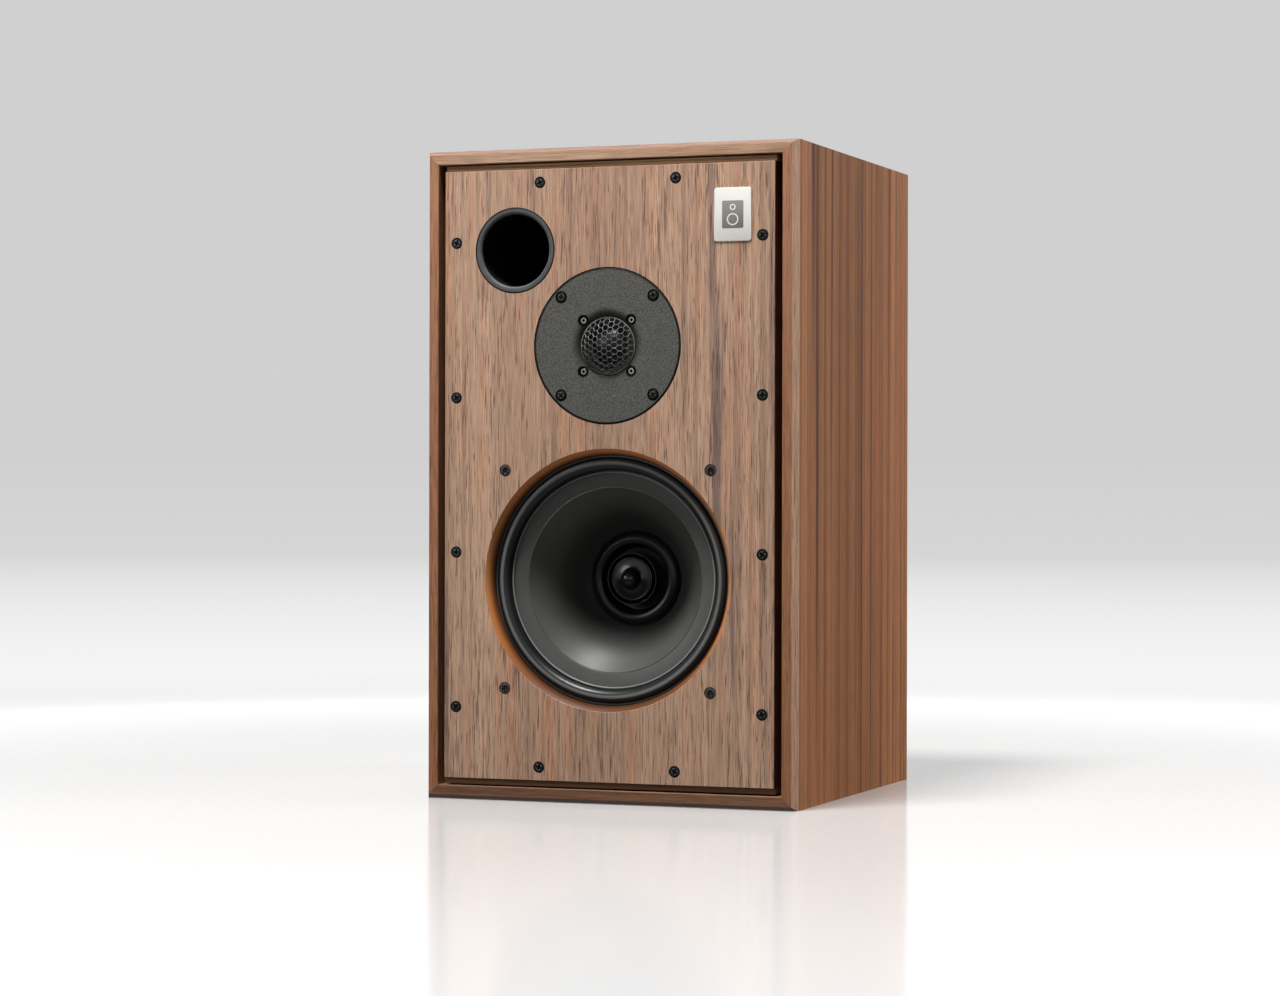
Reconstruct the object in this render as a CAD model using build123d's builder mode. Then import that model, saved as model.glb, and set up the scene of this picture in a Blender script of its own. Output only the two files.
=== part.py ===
from build123d import *
import math
import os

os.makedirs("parts", exist_ok=True)

# Bookshelf speaker, in millimetres. X is to the right and Z up, seen from the front, and the front
# faces -Y. The origin is the middle of the underside. "Depth" is the distance behind the front face.

# Cabinet
WIDTH = 277.0
HEIGHT = 460.0
DEPTH = 275.0
WALL = 10.0
EDGING_DEPTH = 8.0
BEVEL_ACROSS_FRONT = 3.0
BEVEL_ALONG_SIDE = 6.5
ARRIS = 0.5
GROOVE = 5.0
PANEL_THICKNESS = 18.0
GASKET = 2.0
TONGUE_SETBACK = 3.0
TONGUE_GAP = 1.0
BATTEN_THICKNESS = 20.0
SIDE_BATTEN_WIDTH = 23.0
END_BATTEN_WIDTH = 24.0
BATTEN_GAP = 0.5
REAR_RECESS = 9.0
REAR_PANEL_GAP = 0.5

# Screws that hold the front baffle and the rear panel
BAFFLE_SCREW_X = 114.4
BAFFLE_SCREW_HEIGHTS = (65.6, 175.2, 284.6, 394.2)
BAFFLE_END_SCREW_X = 50.75
BAFFLE_END_SCREW_INSET = 24.6
REAR_SCREW_X = 117.0
REAR_SCREW_HEIGHTS = (66.0, 175.0, 285.0, 394.0)
REAR_END_SCREW_X = 60.0
REAR_END_SCREW_INSET = 22.0
SCREW_HEAD_RADIUS = 4.0
SCREW_SHANK_RADIUS = 2.0
SCREW_LENGTH = 36.0
ROUND_HEAD_HEIGHT = 0.6
SCREW_TURN_STEP = 37.0
SMALL_SCREW_RADIUS = 1.5
HOLE_CLEARANCE = 0.15

# Woofer
WOOFER = (0.0, 156.3)
WOOFER_MOUTH_RADIUS = 92.0
WOOFER_THROAT_RADIUS = 88.0
WOOFER_MOUTH_CURVE = (89.6, 2.6)
WOOFER_WEB = 9.0
WOOFER_GASKET = 1.0
FLANGE_RADIUS = 101.0
FLANGE_THICKNESS = 4.0
FLANGE_FIT = 0.8
FLANGE_STEP = 1.5
BOLT_RADIUS = 108.54
EAR_RADIUS = 9.0
BOLT_HEAD_RADIUS = 4.2
BOLT_SHANK_RADIUS = 2.5
BOLT_LENGTH = 20.0
NUT_HEIGHT = 4.0
NUT_FLATS = 8.0
BASKET_WALL = 3.0
BASKET_BACK = 84.0
BASKET_BACK_RADIUS = 59.0
BASKET_WINDOWS = 6
WINDOW_WIDTH = 40.0
SPIDER_SEAT_DEPTH = 75.0
SPIDER_SEAT_RADIUS = 50.0
SPIDER_RADIUS = 55.5
SPIDER_THICKNESS = 0.6
SPIDER_WAVE = 1.3
SPIDER_WAVES = 4
SURROUND_RIM_RADIUS = 90.0
SURROUND_RUBBER = 0.9
ROLL_CENTRE = (81.95, 11.0)
ROLL_RADIUS = 4.75
CONE_RIM_RADIUS = 77.3
CONE_LIP_RADIUS = 75.0
CONE_LIP_DEPTH = 13.8
CONE_SHOULDER = (65.0, 15.75)
CONE_MIDDLE = (50.0, 34.5)
CONE_THROAT = (34.0, 59.0)
CONE_NECK_DEPTH = 67.0
CONE_THICKNESS = 1.3
NECK_RING_INNER = 22.0
NECK_RING_CREST_DEPTH = 54.5
FORMER_RADIUS = 18.5
FORMER_THICKNESS = 0.5
FORMER_FRONT = 50.0
FORMER_BACK = 95.0
WINDING_THICKNESS = 0.8
WINDING_LENGTH = 12.0
WOOFER_PLATE_RADIUS = 52.0
WOOFER_PLATE_THICKNESS = 8.0
WOOFER_MAGNET_RADIUS = 50.0
WOOFER_MAGNET_BORE = 26.0
WOOFER_MAGNET_THICKNESS = 20.0
WOOFER_POLE_RADIUS = 17.3
PLUG_RADIUS = 15.5
PLUG_FACE_DEPTH = 50.0
PLUG_TIP_DEPTH = 39.0
PLUG_TIP_RADIUS = 6.2

# Tweeter
TWEETER = (0.0, 320.0)
FACEPLATE_RADIUS = 54.25
FACEPLATE_THICKNESS = 4.5
FACEPLATE_BOSS_RADIUS = 36.0
FACEPLATE_BOSS_DEPTH = 6.0
RECESS_RADIUS = 55.0
MOTOR_HOLE_RADIUS = 38.0
FLARE_RADIUS = 27.0
GUARD_RADIUS = 20.4
GUARD_SEAT_DEPTH = 3.0
GUARD_APEX = -6.0
GUARD_WIRE = 0.6
GUARD_PITCH = 4.15
GUARD_OPEN_RADIUS = 18.3
FACEPLATE_BORE = 16.2
TWEETER_SCREW_OFFSET = 34.4
TWEETER_SCREW_BORE = 4.1
TWEETER_SCREW_HEAD = 3.4
TWEETER_SCREW_SINK = 1.8
TWEETER_SCREW_LENGTH = 16.0
TWEETER_INNER_OFFSET = 17.85
TWEETER_INNER_BORE = 3.75
TWEETER_INNER_HEAD = 2.75
TWEETER_INNER_SINK = 2.6
TWEETER_INNER_HEAD_HEIGHT = 1.6
TWEETER_INNER_SOCKET = 1.25
TWEETER_INNER_SOCKET_DEPTH = 1.1
TWEETER_SURROUND_THICKNESS = 0.4
DOME_RADIUS = 12.6
DOME_HEIGHT = 4.6
DOME_THICKNESS = 0.4
TWEETER_PLATE_THICKNESS = 3.0
TWEETER_MAGNET_RADIUS = 36.0
TWEETER_MAGNET_BORE = 18.0
TWEETER_MAGNET_THICKNESS = 12.0
TWEETER_BACK_THICKNESS = 4.0
TWEETER_POLE_RADIUS = 12.0
TWEETER_POLE_SETBACK = 0.8
TWEETER_VENT_RADIUS = 4.0
CHAMBER_RADIUS = 30.0
CHAMBER_LENGTH = 20.0
CHAMBER_WALL = 2.0

# Port and badge
PORT = (-69.6, 388.1)
PORT_FLANGE_RADIUS = 30.0
PORT_FLANGE_THICKNESS = 3.0
PORT_BORE_RADIUS = 25.5
PORT_TUBE_RADIUS = 27.5
PORT_LENGTH = 110.0
BADGE = (92.8, 408.9)
BADGE_WIDTH = 27.0
BADGE_HEIGHT = 37.0
BADGE_THICKNESS = 0.8
BADGE_CORNER = 2.0

# Crossover, on the inside of the rear panel
BOARD = (0.0, 320.0)
BOARD_WIDTH = 150.0
BOARD_HEIGHT = 130.0
BOARD_THICKNESS = 1.6
BOARD_STANDOFF = 10.0
BOARD_HOLE_INSET = 7.0
STANDOFF_RADIUS = 4.0
INDUCTOR_PLACES = ((-46.0, 346.0), (42.0, 352.0))
INDUCTOR_RADIUS = 22.0
INDUCTOR_CORE_RADIUS = 9.0
INDUCTOR_HEIGHT = 22.0
BOBBIN_RIM = 1.5
BOBBIN_CHEEK = 2.0
CAPACITOR_PLACES = ((-24.0, 284.0), (24.0, 284.0), (54.0, 300.0))
CAPACITOR_RADIUS = 8.0
CAPACITOR_LENGTH = 34.0
RESISTOR_PLACES = ((-58.0, 296.0), (-44.0, 296.0), (2.0, 366.0))
RESISTOR_SIZE = 9.0
RESISTOR_LENGTH = 28.0

# Terminals
TERMINAL = (0.0, 110.0)
TERMINAL_WIDTH = 96.0
TERMINAL_HEIGHT = 56.0
TERMINAL_THICKNESS = 3.0
TERMINAL_CORNER = 5.0
TERMINAL_SCREW_X = 41.0
TERMINAL_SCREW_Z = 21.0
TERMINAL_WINDOW_WIDTH = 60.0
TERMINAL_WINDOW_HEIGHT = 34.0
POST_SPACING = 19.0
POST_BOSS_RADIUS = 8.0
POST_BOSS_HEIGHT = 2.0
POST_RADIUS = 3.0
POST_RUNNING_CLEARANCE = 0.05
POST_INSIDE_LENGTH = 16.0
POST_NUT_FLATS = 10.0
BANANA_RADIUS = 2.0
BANANA_DEPTH = 14.0
WIRE_HOLE_RADIUS = 1.25
CLAMP_RADIUS = 7.0
CLAMP_THICKNESS = 1.5
KNOB_RADIUS = 8.5
KNOB_LENGTH = 16.0
KNOB_FLUTES = 12
KNOB_FLUTE_RADIUS = 1.1

# Wires and linings inside
WIRE_RADIUS = 1.5
WIRE_BEND = 14.0
PAD_THICKNESS = 3.0
FOAM_THICKNESS = 19.0

# Worked out from the above
FRONT = -DEPTH / 2
BAFFLE_WIDTH = WIDTH - 2 * (WALL + GROOVE)
BAFFLE_HEIGHT = HEIGHT - 2 * (WALL + GROOVE)
TONGUED_HEIGHT = HEIGHT - 2 * (WALL + TONGUE_GAP)
FRONT_BATTEN_DEPTH = PANEL_THICKNESS + GASKET
REAR_FACE = DEPTH - REAR_RECESS
REAR_INSIDE = REAR_FACE - PANEL_THICKNESS
REAR_BATTEN_DEPTH = REAR_INSIDE - GASKET - BATTEN_THICKNESS
INNER_X = WIDTH / 2 - WALL
FLANGE_DEPTH = WOOFER_WEB + WOOFER_GASKET
FLANGE_BACK = FLANGE_DEPTH + FLANGE_THICKNESS
WOOFER_GAP_DEPTH = BASKET_BACK + WOOFER_PLATE_THICKNESS
WOOFER_MAGNET_BACK = WOOFER_GAP_DEPTH + WOOFER_MAGNET_THICKNESS
TWEETER_PLATE_DEPTH = FACEPLATE_BOSS_DEPTH + TWEETER_SURROUND_THICKNESS
TWEETER_MAGNET_DEPTH = TWEETER_PLATE_DEPTH + TWEETER_PLATE_THICKNESS
TWEETER_BACK_DEPTH = TWEETER_MAGNET_DEPTH + TWEETER_MAGNET_THICKNESS
CHAMBER_DEPTH = TWEETER_BACK_DEPTH + TWEETER_BACK_THICKNESS
BOARD_BACK = REAR_INSIDE - BOARD_STANDOFF
BOARD_FRONT = BOARD_BACK - BOARD_THICKNESS
TERMINAL_FACE = REAR_FACE + TERMINAL_THICKNESS
POST_SEAT = TERMINAL_FACE + POST_BOSS_HEIGHT
KNOB_SEAT = POST_SEAT + CLAMP_THICKNESS
KNOB_END = KNOB_SEAT + KNOB_LENGTH
BAFFLE_SCREW_PLACES = [
    (x, z) for x in (-BAFFLE_SCREW_X, BAFFLE_SCREW_X) for z in BAFFLE_SCREW_HEIGHTS
] + [
    (x, z)
    for x in (-BAFFLE_END_SCREW_X, BAFFLE_END_SCREW_X)
    for z in (BAFFLE_END_SCREW_INSET, HEIGHT - BAFFLE_END_SCREW_INSET)
]
REAR_SCREW_PLACES = [(x, z) for x in (-REAR_SCREW_X, REAR_SCREW_X) for z in REAR_SCREW_HEIGHTS] + [
    (x, z)
    for x in (-REAR_END_SCREW_X, REAR_END_SCREW_X)
    for z in (REAR_END_SCREW_INSET, HEIGHT - REAR_END_SCREW_INSET)
]
BOARD_HOLE_PLACES = [
    (
        BOARD[0] + sx * (BOARD_WIDTH / 2 - BOARD_HOLE_INSET),
        BOARD[1] + sz * (BOARD_HEIGHT / 2 - BOARD_HOLE_INSET),
    )
    for sx in (-1, 1)
    for sz in (-1, 1)
]
POST_PLACES = {"negative": -POST_SPACING / 2, "positive": POST_SPACING / 2}


def facing(depth, place=(0.0, 0.0)):
    """Plane parallel to the front at a depth, seen from the front: its X is X and its Y is Z."""
    return Plane(origin=(place[0], FRONT + depth, place[1]), x_dir=(1, 0, 0), z_dir=(0, -1, 0))


def turning(place):
    """Plane of a turned section: its X is the radius and its Y the depth."""
    return Plane(origin=(place[0], FRONT, place[1]), x_dir=(1, 0, 0), z_dir=(0, 0, 1))


def centre_line(place):
    """Front-to-back axis through a place."""
    return Axis((place[0], FRONT, place[1]), (0, 1, 0))


def write(builder, name):
    """Labels a finished piece and writes it to its own file."""
    builder.part.label = name
    export_step(builder.part, f"parts/{name}.step")


def write_ring(name, place, outer, inner, near, far):
    """Writes a flat ring, or a disc where inner is 0, between two depths."""
    with BuildPart() as ring:
        with BuildSketch(facing(near, place)):
            Circle(outer)
            if inner:
                Circle(inner, mode=Mode.SUBTRACT)
        extrude(amount=near - far)
    write(ring, name)


def cross_head_screw(head_radius, shank_radius, length, sunk=True):
    """Screw with its head's face at the origin and its shank along +Y; a head that isn't sunk is round."""
    head_height = head_radius - shank_radius if sunk else ROUND_HEAD_HEIGHT * head_radius
    rim = 0.4
    with BuildPart() as screw:
        with BuildSketch(Plane.XY):
            with BuildLine():
                if sunk:
                    Polyline(
                        (0, 0), (head_radius, 0), (head_radius, rim), (shank_radius, rim + head_height)
                    )
                else:
                    crown = ThreePointArc((0, 0), (0.6 * head_radius, rim / 2), (head_radius, 2 * rim))
                    Polyline(crown @ 1, (head_radius, head_height), (shank_radius, head_height))
                Polyline(
                    (shank_radius, rim + head_height if sunk else head_height),
                    (shank_radius, length - shank_radius),
                    (0, length),
                    (0, 0),
                )
            make_face()
        revolve(axis=Axis.Y)
        slot_depth = 0.8 * head_height + rim
        with Locations((0, slot_depth / 2, 0)):
            Box(1.15 * head_radius, slot_depth, 0.24 * head_radius, mode=Mode.SUBTRACT)
            Box(0.24 * head_radius, slot_depth, 1.15 * head_radius, mode=Mode.SUBTRACT)
    return screw.part


def write_screws(name, screw, places, depth, from_behind=False):
    """Writes a group of the same screw, each turned a little further than the last."""
    spots = [
        Location((x, FRONT + depth, z), (0, SCREW_TURN_STEP * i, 180 if from_behind else 0))
        for i, (x, z) in enumerate(places)
    ]
    with BuildPart() as group:
        with Locations(*spots):
            add(screw)
    write(group, name)


# Cabinet walls: four mitred panels, each with a bevelled strip of solid wood on its front edge
OUTER = ((-WIDTH / 2, 0), (WIDTH / 2, 0), (WIDTH / 2, HEIGHT), (-WIDTH / 2, HEIGHT))
INNER = ((-INNER_X, WALL), (INNER_X, WALL), (INNER_X, HEIGHT - WALL), (-INNER_X, HEIGHT - WALL))
for index, side in enumerate(("bottom", "right", "top", "left")):
    after = (index + 1) % 4
    corners = (OUTER[index], OUTER[after], INNER[after], INNER[index])
    with BuildPart() as panel:
        with BuildSketch(facing(EDGING_DEPTH)):
            with BuildLine():
                Polyline(*corners, close=True)
            make_face()
        extrude(amount=EDGING_DEPTH - DEPTH)
    write(panel, f"{side}_panel")
    with BuildPart() as edging:
        with BuildSketch(facing(0)):
            with BuildLine():
                Polyline(*corners, close=True)
            make_face()
        extrude(amount=-EDGING_DEPTH)
        face = edging.faces().sort_by(Axis.Y)[0]
        long_edges = face.edges().sort_by(SortBy.LENGTH)
        chamfer(long_edges[-1], length=BEVEL_ACROSS_FRONT, length2=BEVEL_ALONG_SIDE, reference=face)
        inner_edge = edging.faces().sort_by(Axis.Y)[0].edges().sort_by_distance((0, FRONT, HEIGHT / 2))[0]
        chamfer(inner_edge, length=ARRIS)
    write(edging, f"front_edging_{side}")

# Battens inside the walls, which the baffle and the rear panel are screwed to
for name, near, screw_places in (
    ("front_battens", FRONT_BATTEN_DEPTH, BAFFLE_SCREW_PLACES),
    ("rear_battens", REAR_BATTEN_DEPTH, REAR_SCREW_PLACES),
):
    side_length = HEIGHT - 2 * (WALL + END_BATTEN_WIDTH + BATTEN_GAP)
    with BuildPart() as battens:
        with BuildSketch(facing(near, (0, HEIGHT / 2))):
            with GridLocations(2 * INNER_X - SIDE_BATTEN_WIDTH, 0, 2, 1):
                Rectangle(SIDE_BATTEN_WIDTH, side_length)
            with GridLocations(0, HEIGHT - 2 * WALL - END_BATTEN_WIDTH, 1, 2):
                Rectangle(2 * INNER_X, END_BATTEN_WIDTH)
        extrude(amount=-BATTEN_THICKNESS)
        with BuildSketch(facing(near)):
            with Locations(*screw_places):
                Circle(SCREW_SHANK_RADIUS + HOLE_CLEARANCE)
        extrude(amount=-BATTEN_THICKNESS, mode=Mode.SUBTRACT)
    write(battens, name)


def woofer_frame_outline(edge, ear):
    """Draws the round woofer frame with an ear at each bolt in the current sketch."""
    Circle(edge)
    with PolarLocations(BOLT_RADIUS, 4, start_angle=45):
        Circle(ear)
    with PolarLocations(BOLT_RADIUS / 2, 4, start_angle=45):
        Rectangle(BOLT_RADIUS, 2 * ear)


def bolt_holes(radius):
    """Draws the woofer's four bolt holes in the current sketch."""
    with PolarLocations(BOLT_RADIUS, 4, start_angle=45):
        Circle(radius)


def square_of_holes(offset, radius):
    """Draws a hole at each corner of a square in the current sketch."""
    with GridLocations(2 * offset, 2 * offset, 2, 2):
        Circle(radius)


def cut_countersinks(places, depth, head_radius, shank_radius, from_behind=False):
    """Cuts countersinks into the current part from a face at a depth."""
    inward = -1 if from_behind else 1
    rim = 0.4
    for x, z in places:
        with BuildSketch(turning((x, z))) as profile:
            with BuildLine():
                Polyline(
                    (0, depth),
                    (head_radius + HOLE_CLEARANCE, depth),
                    (head_radius + HOLE_CLEARANCE, depth + inward * rim),
                    (shank_radius + HOLE_CLEARANCE, depth + inward * (rim + head_radius - shank_radius)),
                    (shank_radius + HOLE_CLEARANCE, depth + inward * PANEL_THICKNESS),
                    (0, depth + inward * PANEL_THICKNESS),
                    close=True,
                )
            make_face()
        revolve(profile.sketch, axis=centre_line((x, z)), mode=Mode.SUBTRACT)


# Front baffle with a set-back tongue above and below, the woofer let in from behind, and the tweeter and
# the port from the front
with BuildPart() as front_baffle:
    with BuildSketch(facing(0, (0, HEIGHT / 2))):
        Rectangle(BAFFLE_WIDTH, BAFFLE_HEIGHT)
    extrude(amount=-PANEL_THICKNESS)
    chamfer(front_baffle.faces().sort_by(Axis.Y)[0].edges(), length=ARRIS)
    with BuildSketch(facing(TONGUE_SETBACK, (0, HEIGHT / 2))):
        Rectangle(BAFFLE_WIDTH, TONGUED_HEIGHT)
    extrude(amount=TONGUE_SETBACK - PANEL_THICKNESS)
    with BuildSketch(turning(WOOFER)):
        with BuildLine():
            mouth_end = (WOOFER_THROAT_RADIUS, WOOFER_WEB - 0.5)
            ThreePointArc((WOOFER_MOUTH_RADIUS, 0), WOOFER_MOUTH_CURVE, mouth_end)
            Polyline(
                mouth_end,
                (WOOFER_THROAT_RADIUS, WOOFER_WEB),
                (0, WOOFER_WEB),
                (0, 0),
                (WOOFER_MOUTH_RADIUS, 0),
            )
        make_face()
    revolve(axis=centre_line(WOOFER), mode=Mode.SUBTRACT)
    with BuildSketch(facing(WOOFER_WEB, WOOFER)):
        woofer_frame_outline(FLANGE_RADIUS + FLANGE_FIT, EAR_RADIUS + FLANGE_FIT)
    extrude(amount=WOOFER_WEB - PANEL_THICKNESS, mode=Mode.SUBTRACT)
    with BuildSketch(facing(0, TWEETER)):
        Circle(RECESS_RADIUS)
    extrude(amount=-FACEPLATE_THICKNESS, mode=Mode.SUBTRACT)
    with BuildSketch(facing(0, TWEETER)):
        Circle(MOTOR_HOLE_RADIUS)
        square_of_holes(TWEETER_SCREW_OFFSET, SCREW_SHANK_RADIUS + HOLE_CLEARANCE)
    extrude(amount=-PANEL_THICKNESS, mode=Mode.SUBTRACT)
    with BuildSketch(facing(0, PORT)):
        Circle(PORT_FLANGE_RADIUS + 2 * HOLE_CLEARANCE)
    extrude(amount=-PORT_FLANGE_THICKNESS, mode=Mode.SUBTRACT)
    with BuildSketch(facing(0, PORT)):
        Circle(PORT_TUBE_RADIUS + HOLE_CLEARANCE)
    extrude(amount=-PANEL_THICKNESS, mode=Mode.SUBTRACT)
    cut_countersinks(BAFFLE_SCREW_PLACES, 0, SCREW_HEAD_RADIUS, SCREW_SHANK_RADIUS)
    bolt_offset = BOLT_RADIUS * math.sqrt(0.5)
    BOLT_PLACES = [
        (WOOFER[0] + sx * bolt_offset, WOOFER[1] + sz * bolt_offset) for sx in (-1, 1) for sz in (-1, 1)
    ]
    cut_countersinks(BOLT_PLACES, 0, BOLT_HEAD_RADIUS, BOLT_SHANK_RADIUS)
write(front_baffle, "front_baffle")

with BuildPart() as baffle_gasket:
    with BuildSketch(facing(PANEL_THICKNESS, (0, HEIGHT / 2))):
        Rectangle(BAFFLE_WIDTH, BAFFLE_HEIGHT)
        Rectangle(
            2 * (INNER_X - SIDE_BATTEN_WIDTH), HEIGHT - 2 * (WALL + END_BATTEN_WIDTH), mode=Mode.SUBTRACT
        )
    extrude(amount=-GASKET)
    with BuildSketch(facing(PANEL_THICKNESS)):
        with Locations(*BAFFLE_SCREW_PLACES):
            Circle(SCREW_SHANK_RADIUS + HOLE_CLEARANCE)
    extrude(amount=-GASKET, mode=Mode.SUBTRACT)
write(baffle_gasket, "baffle_gasket")

screw = cross_head_screw(SCREW_HEAD_RADIUS, SCREW_SHANK_RADIUS, SCREW_LENGTH)
write_screws("baffle_screws", screw, BAFFLE_SCREW_PLACES, 0)
write_screws("rear_panel_screws", screw, REAR_SCREW_PLACES, REAR_FACE, from_behind=True)

# Rear panel, set into the cabinet, with a window behind the terminal plate
TERMINAL_SCREW_PLACES = [
    (TERMINAL[0] + sx * TERMINAL_SCREW_X, TERMINAL[1] + sz * TERMINAL_SCREW_Z)
    for sx in (-1, 1)
    for sz in (-1, 1)
]
with BuildPart() as rear_panel:
    with BuildSketch(facing(REAR_INSIDE, (0, HEIGHT / 2))):
        Rectangle(2 * (INNER_X - REAR_PANEL_GAP), HEIGHT - 2 * (WALL + REAR_PANEL_GAP))
    extrude(amount=-PANEL_THICKNESS)
    with BuildSketch(facing(REAR_INSIDE, TERMINAL)):
        RectangleRounded(TERMINAL_WINDOW_WIDTH, TERMINAL_WINDOW_HEIGHT, TERMINAL_CORNER)
    extrude(amount=-PANEL_THICKNESS, mode=Mode.SUBTRACT)
    with BuildSketch(facing(REAR_INSIDE)):
        with Locations(*TERMINAL_SCREW_PLACES):
            Circle(SCREW_SHANK_RADIUS)
    extrude(amount=-PANEL_THICKNESS, mode=Mode.SUBTRACT)
    cut_countersinks(REAR_SCREW_PLACES, REAR_FACE, SCREW_HEAD_RADIUS, SCREW_SHANK_RADIUS, from_behind=True)
write(rear_panel, "rear_panel")

with BuildPart() as rear_gasket:
    with BuildSketch(facing(REAR_INSIDE - GASKET, (0, HEIGHT / 2))):
        Rectangle(2 * (INNER_X - REAR_PANEL_GAP), HEIGHT - 2 * (WALL + REAR_PANEL_GAP))
        Rectangle(
            2 * (INNER_X - SIDE_BATTEN_WIDTH), HEIGHT - 2 * (WALL + END_BATTEN_WIDTH), mode=Mode.SUBTRACT
        )
    extrude(amount=-GASKET)
    with BuildSketch(facing(REAR_INSIDE - GASKET)):
        with Locations(*REAR_SCREW_PLACES):
            Circle(SCREW_SHANK_RADIUS + HOLE_CLEARANCE)
    extrude(amount=-GASKET, mode=Mode.SUBTRACT)
write(rear_gasket, "rear_gasket")

# Bass port: a flanged tube
with BuildPart() as port_tube:
    with BuildSketch(turning(PORT)):
        with BuildLine():
            Polyline(
                (PORT_BORE_RADIUS, 0),
                (PORT_FLANGE_RADIUS, 0),
                (PORT_FLANGE_RADIUS, PORT_FLANGE_THICKNESS),
                (PORT_TUBE_RADIUS, PORT_FLANGE_THICKNESS),
                (PORT_TUBE_RADIUS, PORT_LENGTH),
                (PORT_BORE_RADIUS, PORT_LENGTH),
                close=True,
            )
        make_face()
    revolve(axis=centre_line(PORT))
    mouth = port_tube.faces().sort_by(Axis.Y)[0].edges().sort_by(SortBy.RADIUS)
    fillet(mouth[0], radius=2.0)
    fillet(mouth[-1], radius=0.6)
write(port_tube, "port_tube")

with BuildPart() as badge_plate:
    with BuildSketch(facing(0, BADGE)):
        RectangleRounded(BADGE_WIDTH, BADGE_HEIGHT, BADGE_CORNER)
    extrude(amount=BADGE_THICKNESS)
    chamfer(badge_plate.faces().sort_by(Axis.Y)[0].edges(), length=0.25)
write(badge_plate, "badge_plate")

# Woofer frame: flange with ears, windowed bowl, seat for the spider
with BuildPart() as woofer_basket:
    with BuildSketch(turning(WOOFER)):
        with BuildLine():
            flange_inner = SURROUND_RIM_RADIUS - 4.0
            bowl_top = FLANGE_BACK + 10.0
            bowl_inner = flange_inner - FLANGE_STEP
            Polyline(
                (flange_inner, FLANGE_DEPTH),
                (FLANGE_RADIUS, FLANGE_DEPTH),
                (FLANGE_RADIUS, FLANGE_BACK),
                (bowl_inner + BASKET_WALL, FLANGE_BACK),
                (bowl_inner + BASKET_WALL, bowl_top),
                (BASKET_BACK_RADIUS, SPIDER_SEAT_DEPTH - 5.0),
                (BASKET_BACK_RADIUS, BASKET_BACK),
                (SPIDER_SEAT_RADIUS - 20.0, BASKET_BACK),
                (SPIDER_SEAT_RADIUS - 20.0, BASKET_BACK - BASKET_WALL),
                (SPIDER_SEAT_RADIUS, BASKET_BACK - BASKET_WALL),
                (SPIDER_SEAT_RADIUS, SPIDER_SEAT_DEPTH),
                (BASKET_BACK_RADIUS - BASKET_WALL, SPIDER_SEAT_DEPTH),
                (BASKET_BACK_RADIUS - BASKET_WALL, SPIDER_SEAT_DEPTH - 5.0),
                (bowl_inner, bowl_top),
                (bowl_inner, FLANGE_BACK),
                close=True,
            )
        make_face()
    revolve(axis=centre_line(WOOFER))
    with BuildSketch(facing(FLANGE_DEPTH, WOOFER)):
        woofer_frame_outline(FLANGE_RADIUS, EAR_RADIUS)
        Circle(FLANGE_RADIUS - 4.0, mode=Mode.SUBTRACT)
    extrude(amount=-FLANGE_THICKNESS)
    with BuildSketch(facing(FLANGE_DEPTH, WOOFER)):
        bolt_holes(BOLT_SHANK_RADIUS + HOLE_CLEARANCE)
    extrude(amount=-FLANGE_THICKNESS, mode=Mode.SUBTRACT)
    with BuildSketch(facing(bowl_top + 4.0, WOOFER)):
        with PolarLocations(FLANGE_RADIUS / 2 + BASKET_BACK_RADIUS / 2, BASKET_WINDOWS):
            Rectangle(FLANGE_RADIUS - BASKET_BACK_RADIUS + 8.0, WINDOW_WIDTH)
    extrude(amount=bowl_top + 8.0 + 5.0 - SPIDER_SEAT_DEPTH, mode=Mode.SUBTRACT)
write(woofer_basket, "woofer_basket")

with BuildPart() as woofer_gasket:
    with BuildSketch(facing(WOOFER_WEB, WOOFER)):
        woofer_frame_outline(FLANGE_RADIUS, EAR_RADIUS)
        Circle(SURROUND_RIM_RADIUS + 0.5, mode=Mode.SUBTRACT)
        with PolarLocations(BOLT_RADIUS, 4, start_angle=45):
            Circle(BOLT_SHANK_RADIUS + HOLE_CLEARANCE, mode=Mode.SUBTRACT)
    extrude(amount=-WOOFER_GASKET)
write(woofer_gasket, "woofer_gasket")


def on_roll(radius, depth, outer_side):
    """Point of a circle about the roll's centre, at a depth, on its outer or inner side."""
    reach = math.sqrt(radius**2 - (depth - ROLL_CENTRE[1]) ** 2)
    return (ROLL_CENTRE[0] + (reach if outer_side else -reach), depth)


# Rubber half roll between the frame and the cone
with BuildPart() as woofer_surround:
    rim_face = FLANGE_DEPTH - SURROUND_RUBBER
    lip_face = CONE_LIP_DEPTH - SURROUND_RUBBER
    back_radius = ROLL_RADIUS - SURROUND_RUBBER
    with BuildSketch(turning(WOOFER)):
        with BuildLine():
            front_start = on_roll(ROLL_RADIUS, rim_face, True)
            front_end = on_roll(ROLL_RADIUS, lip_face, False)
            back_start = on_roll(back_radius, CONE_LIP_DEPTH, False)
            back_end = on_roll(back_radius, FLANGE_DEPTH, True)
            Line((SURROUND_RIM_RADIUS, rim_face), front_start)
            ThreePointArc(front_start, (ROLL_CENTRE[0], ROLL_CENTRE[1] - ROLL_RADIUS), front_end)
            Polyline(front_end, (CONE_LIP_RADIUS, lip_face), (CONE_LIP_RADIUS, CONE_LIP_DEPTH), back_start)
            ThreePointArc(back_start, (ROLL_CENTRE[0], ROLL_CENTRE[1] - back_radius), back_end)
            Polyline(back_end, (SURROUND_RIM_RADIUS, FLANGE_DEPTH), (SURROUND_RIM_RADIUS, rim_face))
        make_face()
    revolve(axis=centre_line(WOOFER))
write(woofer_surround, "woofer_surround")


def behind(point):
    """Point of the cone's back behind a point of its front."""
    return (point[0], point[1] + CONE_THICKNESS)


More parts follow.
